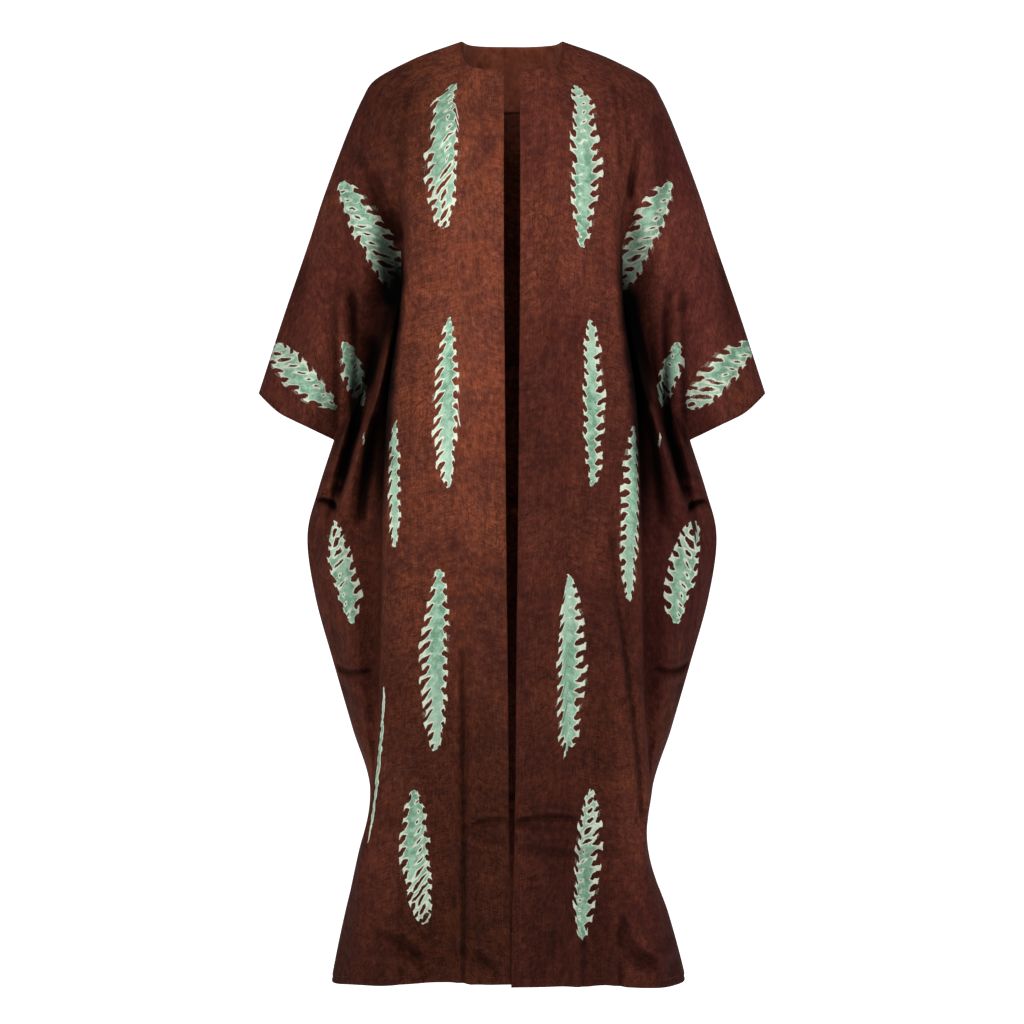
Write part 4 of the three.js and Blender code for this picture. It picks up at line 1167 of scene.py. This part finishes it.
class RobeColours(bpy.types.PropertyGroup):
    """Colours of the dye, the print and the thread, as seen on a screen."""

    ground: colour_prop("Ground", "Main brown of the dyed cloth", (0.36, 0.185, 0.145))
    ground_red: colour_prop("Red ground", "Redder brown that the ground shades into", (0.43, 0.215, 0.145))
    ground_plum: colour_prop("Plum ground", "Cooler brown that parts of the dye go to", (0.35, 0.16, 0.145))
    ground_dark: colour_prop("Dark ground", "Darkest mottling of the dye", (0.24, 0.11, 0.09))
    ground_light: colour_prop("Light ground", "Pale cracks and flecks of the dye", (0.53, 0.30, 0.21))
    leaf: colour_prop("Leaf", "Mint of the printed leaves", (0.61, 0.755, 0.655))
    leaf_dark: colour_prop("Dark leaf", "Darker blots in the mint", (0.40, 0.56, 0.46))
    leaf_pale: colour_prop("Pale leaf", "Pale flecks in the mint", (0.76, 0.85, 0.765))
    leaf_edge: colour_prop("Leaf edge", "Cream outline of the leaves", (0.87, 0.89, 0.81))
    facing: colour_prop("Facing", "Brown of the neck facing", (0.52, 0.28, 0.21))
    thread: colour_prop("Thread", "Sewing thread", (0.33, 0.17, 0.14))


class RobeStudio(bpy.types.PropertyGroup):
    """The camera and the lights."""

    camera_away: length_prop("Camera distance", "Camera to the middle of the robe", 5.0)
    camera_height: length_prop("Camera height", "Height of the camera, from the neck", -0.705, least=-2.0)
    view_width: length_prop("View width", "Width that the camera takes in at the robe", 1.536)
    key_power: light_prop("Key light", "Power of the key light", 27)
    fill_power: light_prop("Fill light", "Power of the fill light", 12)
    back_power: light_prop("Back light", "Power of the light behind", 24)
    air_light: light_prop("Air light", "Light from all round", 0.33)
    paper_light: light_prop("Paper light", "Light of the backdrop", 1.0)


class RobeSettings(bpy.types.PropertyGroup):
    """Everything that a user of the robe would change."""

    sizes: bpy.props.PointerProperty(type=RobeSizes)
    colours: bpy.props.PointerProperty(type=RobeColours)
    studio: bpy.props.PointerProperty(type=RobeStudio)


def finish_piece(piece, slot, *nodes):
    """Rides a piece on the robe and hides the CAD solids that it stands for; slot, the name of its finish, is
    not used.
    """
    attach(piece, "root")
    if nodes:
        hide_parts(*nodes)
    return piece


class ROBE_OT_fronts(bpy.types.Operator):
    """Builds the two front panels, each with its sleeve and side"""

    bl_idname = "robe.fronts"
    bl_label = "Fronts"

    def execute(self, context):
        settings = context.scene.robe
        shares = spaced(COLUMN_STOPS, FRONT_COLUMNS)
        drop = row_drops(FRONT_ROWS)
        for name, side in (("left", 1), ("right", -1)):
            grid = ClothGrid("front", [(side, shares[::side])], drop)
            cloth = cloth_material("dyed_cotton_" + name, settings.colours, LOOKS[name])
            piece = cloth_piece(f"front_{name}_cloth", grid, settings.sizes, cloth)
            finish_piece(piece, "dyed_cotton", "front_" + name)
        return {"FINISHED"}


class ROBE_OT_back(bpy.types.Operator):
    """Builds the back, cut whole with the backs of both sleeves"""

    bl_idname = "robe.back"
    bl_label = "Back"

    def execute(self, context):
        settings = context.scene.robe
        shares = spaced(COLUMN_STOPS, BACK_COLUMNS)
        grid = ClothGrid("back", [(1, shares[::-1]), (-1, shares[1:])], row_drops(BACK_ROWS))
        cloth = cloth_material("dyed_cotton_back", settings.colours, LOOKS["back"])
        piece = cloth_piece("back_cloth", grid, settings.sizes, cloth)
        finish_piece(piece, "dyed_cotton", "back")
        return {"FINISHED"}


class ROBE_OT_facing(bpy.types.Operator):
    """Builds the facing inside the back of the neck"""

    bl_idname = "robe.facing"
    bl_label = "Neck facing"

    def execute(self, context):
        settings = context.scene.robe
        cloth = facing_material("facing_cotton_plain", settings.colours)
        piece = facing_piece("neck_facing_cloth", settings.sizes, cloth)
        finish_piece(piece, "facing_cotton", "back_neck_facing")
        return {"FINISHED"}


class ROBE_OT_sewing(bpy.types.Operator):
    """Sews the neck, front edges, cuffs and hem with running stitches"""

    bl_idname = "robe.sewing"
    bl_label = "Stitching"

    def execute(self, context):
        sizes = context.scene.robe.sizes
        thread = thread_material("sewing_thread", context.scene.robe.colours)
        for name, side in (("front_left_stitches", 1), ("front_right_stitches", -1)):
            lines = [stitch_line("front", side, [EDGE_STITCH_U], EDGE_STITCHED, sizes)]
            lines += hem_cuff_and_neck("front", side, HEM_STITCHED, sizes)
            finish_piece(stitches_piece(name, lines, sizes, thread), "dyed_cotton")
        from_centre = HEM_STITCHED - HEM_STITCHED[0]
        lines = [line for side in (1, -1) for line in hem_cuff_and_neck("back", side, from_centre, sizes)]
        finish_piece(stitches_piece("back_stitches", lines, sizes, thread), "dyed_cotton")
        return {"FINISHED"}


class ROBE_OT_studio(bpy.types.Operator):
    """Sets up the pale backdrop and floor, the soft lights and the camera"""

    bl_idname = "robe.studio"
    bl_label = "Studio"

    def execute(self, context):
        studio = context.scene.robe.studio
        paper = backdrop_material("backdrop_paper", studio.paper_light)
        # a dome that only the camera sees, and a floor of the same paper
        around = np.arange(DOME_ROUND + 1) * np.pi / (DOME_ROUND // 2)
        turn, rise = np.meshgrid(around, np.linspace(-np.pi / 2, np.pi / 2, DOME_UP + 1))
        dome = np.stack([np.cos(turn) * np.cos(rise), np.sin(turn) * np.cos(rise), np.sin(rise)], axis=-1)
        row, column = np.meshgrid(np.arange(DOME_UP), np.arange(DOME_ROUND), indexing="ij")
        k = (row * (DOME_ROUND + 1) + column).ravel()
        inwards = np.stack([k, k + DOME_ROUND + 1, k + DOME_ROUND + 2, k + 1], axis=1)
        backdrop = new_piece("backdrop", dome.reshape(-1, 3) * DOME_RADIUS, inwards, {}, paper)
        backdrop.visible_diffuse = backdrop.visible_glossy = backdrop.visible_shadow = False
        square = np.array([[-1, -1, 0], [1, -1, 0], [1, 1, 0], [-1, 1, 0]]) * FLOOR_REACH
        floor = new_piece("floor", square + np.array([0, 0, FLOOR_Z]), [[0, 1, 2, 3]], {}, paper)

        world = bpy.data.worlds.new("studio_air")
        world.use_nodes = True
        air = world.node_tree.nodes["Background"]
        air.inputs["Color"].default_value = (1, 1, 1, 1)
        air.inputs["Strength"].default_value = studio.air_light
        context.scene.world = world

        for name, place, size, power in LAMPS:
            lamp = bpy.data.lights.new(name, "AREA")
            lamp.shape, lamp.size, lamp.energy = "SQUARE", size, getattr(studio, power)
            light = bpy.data.objects.new(name, lamp)
            light.location = place
            light.rotation_euler = (ROBE_MIDDLE - Vector(place)).to_track_quat("-Z", "Y").to_euler()
            context.collection.objects.link(light)

        lens = bpy.data.cameras.new("camera")
        lens.lens = lens.sensor_width * studio.camera_away / studio.view_width
        camera = bpy.data.objects.new("camera", lens)
        camera.location = (0, -studio.camera_away, studio.camera_height)
        camera.rotation_euler = (np.pi / 2, 0, 0)
        context.collection.objects.link(camera)
        context.scene.camera = camera
        context.scene.view_settings.view_transform = "Standard"
        return {"FINISHED"}


class ROBE_PT_build(bpy.types.Panel):
    """The robe's building steps and settings"""

    bl_idname = "ROBE_PT_build"
    bl_label = "Robe"
    bl_space_type = "VIEW_3D"
    bl_region_type = "UI"
    bl_category = "Robe"

    def draw(self, context):
        settings = context.scene.robe
        for operator in OPERATORS:
            self.layout.operator(operator.bl_idname)
        for title in ("sizes", "colours", "studio"):
            group = getattr(settings, title)
            box = self.layout.box()
            box.label(text=title.capitalize())
            for name in group.__annotations__:
                box.prop(group, name)


OPERATORS = (ROBE_OT_back, ROBE_OT_fronts, ROBE_OT_facing, ROBE_OT_sewing, ROBE_OT_studio)
CLASSES = (RobeSizes, RobeColours, RobeStudio, RobeSettings, *OPERATORS, ROBE_PT_build)


def register():
    for cls in CLASSES:
        bpy.utils.register_class(cls)
    bpy.types.Scene.robe = bpy.props.PointerProperty(type=RobeSettings)


def unregister():
    del bpy.types.Scene.robe
    for cls in reversed(CLASSES):
        bpy.utils.unregister_class(cls)


def main():
    register()
    bpy.ops.robe.back()
    bpy.ops.robe.fronts()
    bpy.ops.robe.facing()
    bpy.ops.robe.sewing()
    bpy.ops.robe.studio()


if __name__ == "__main__":
    main()
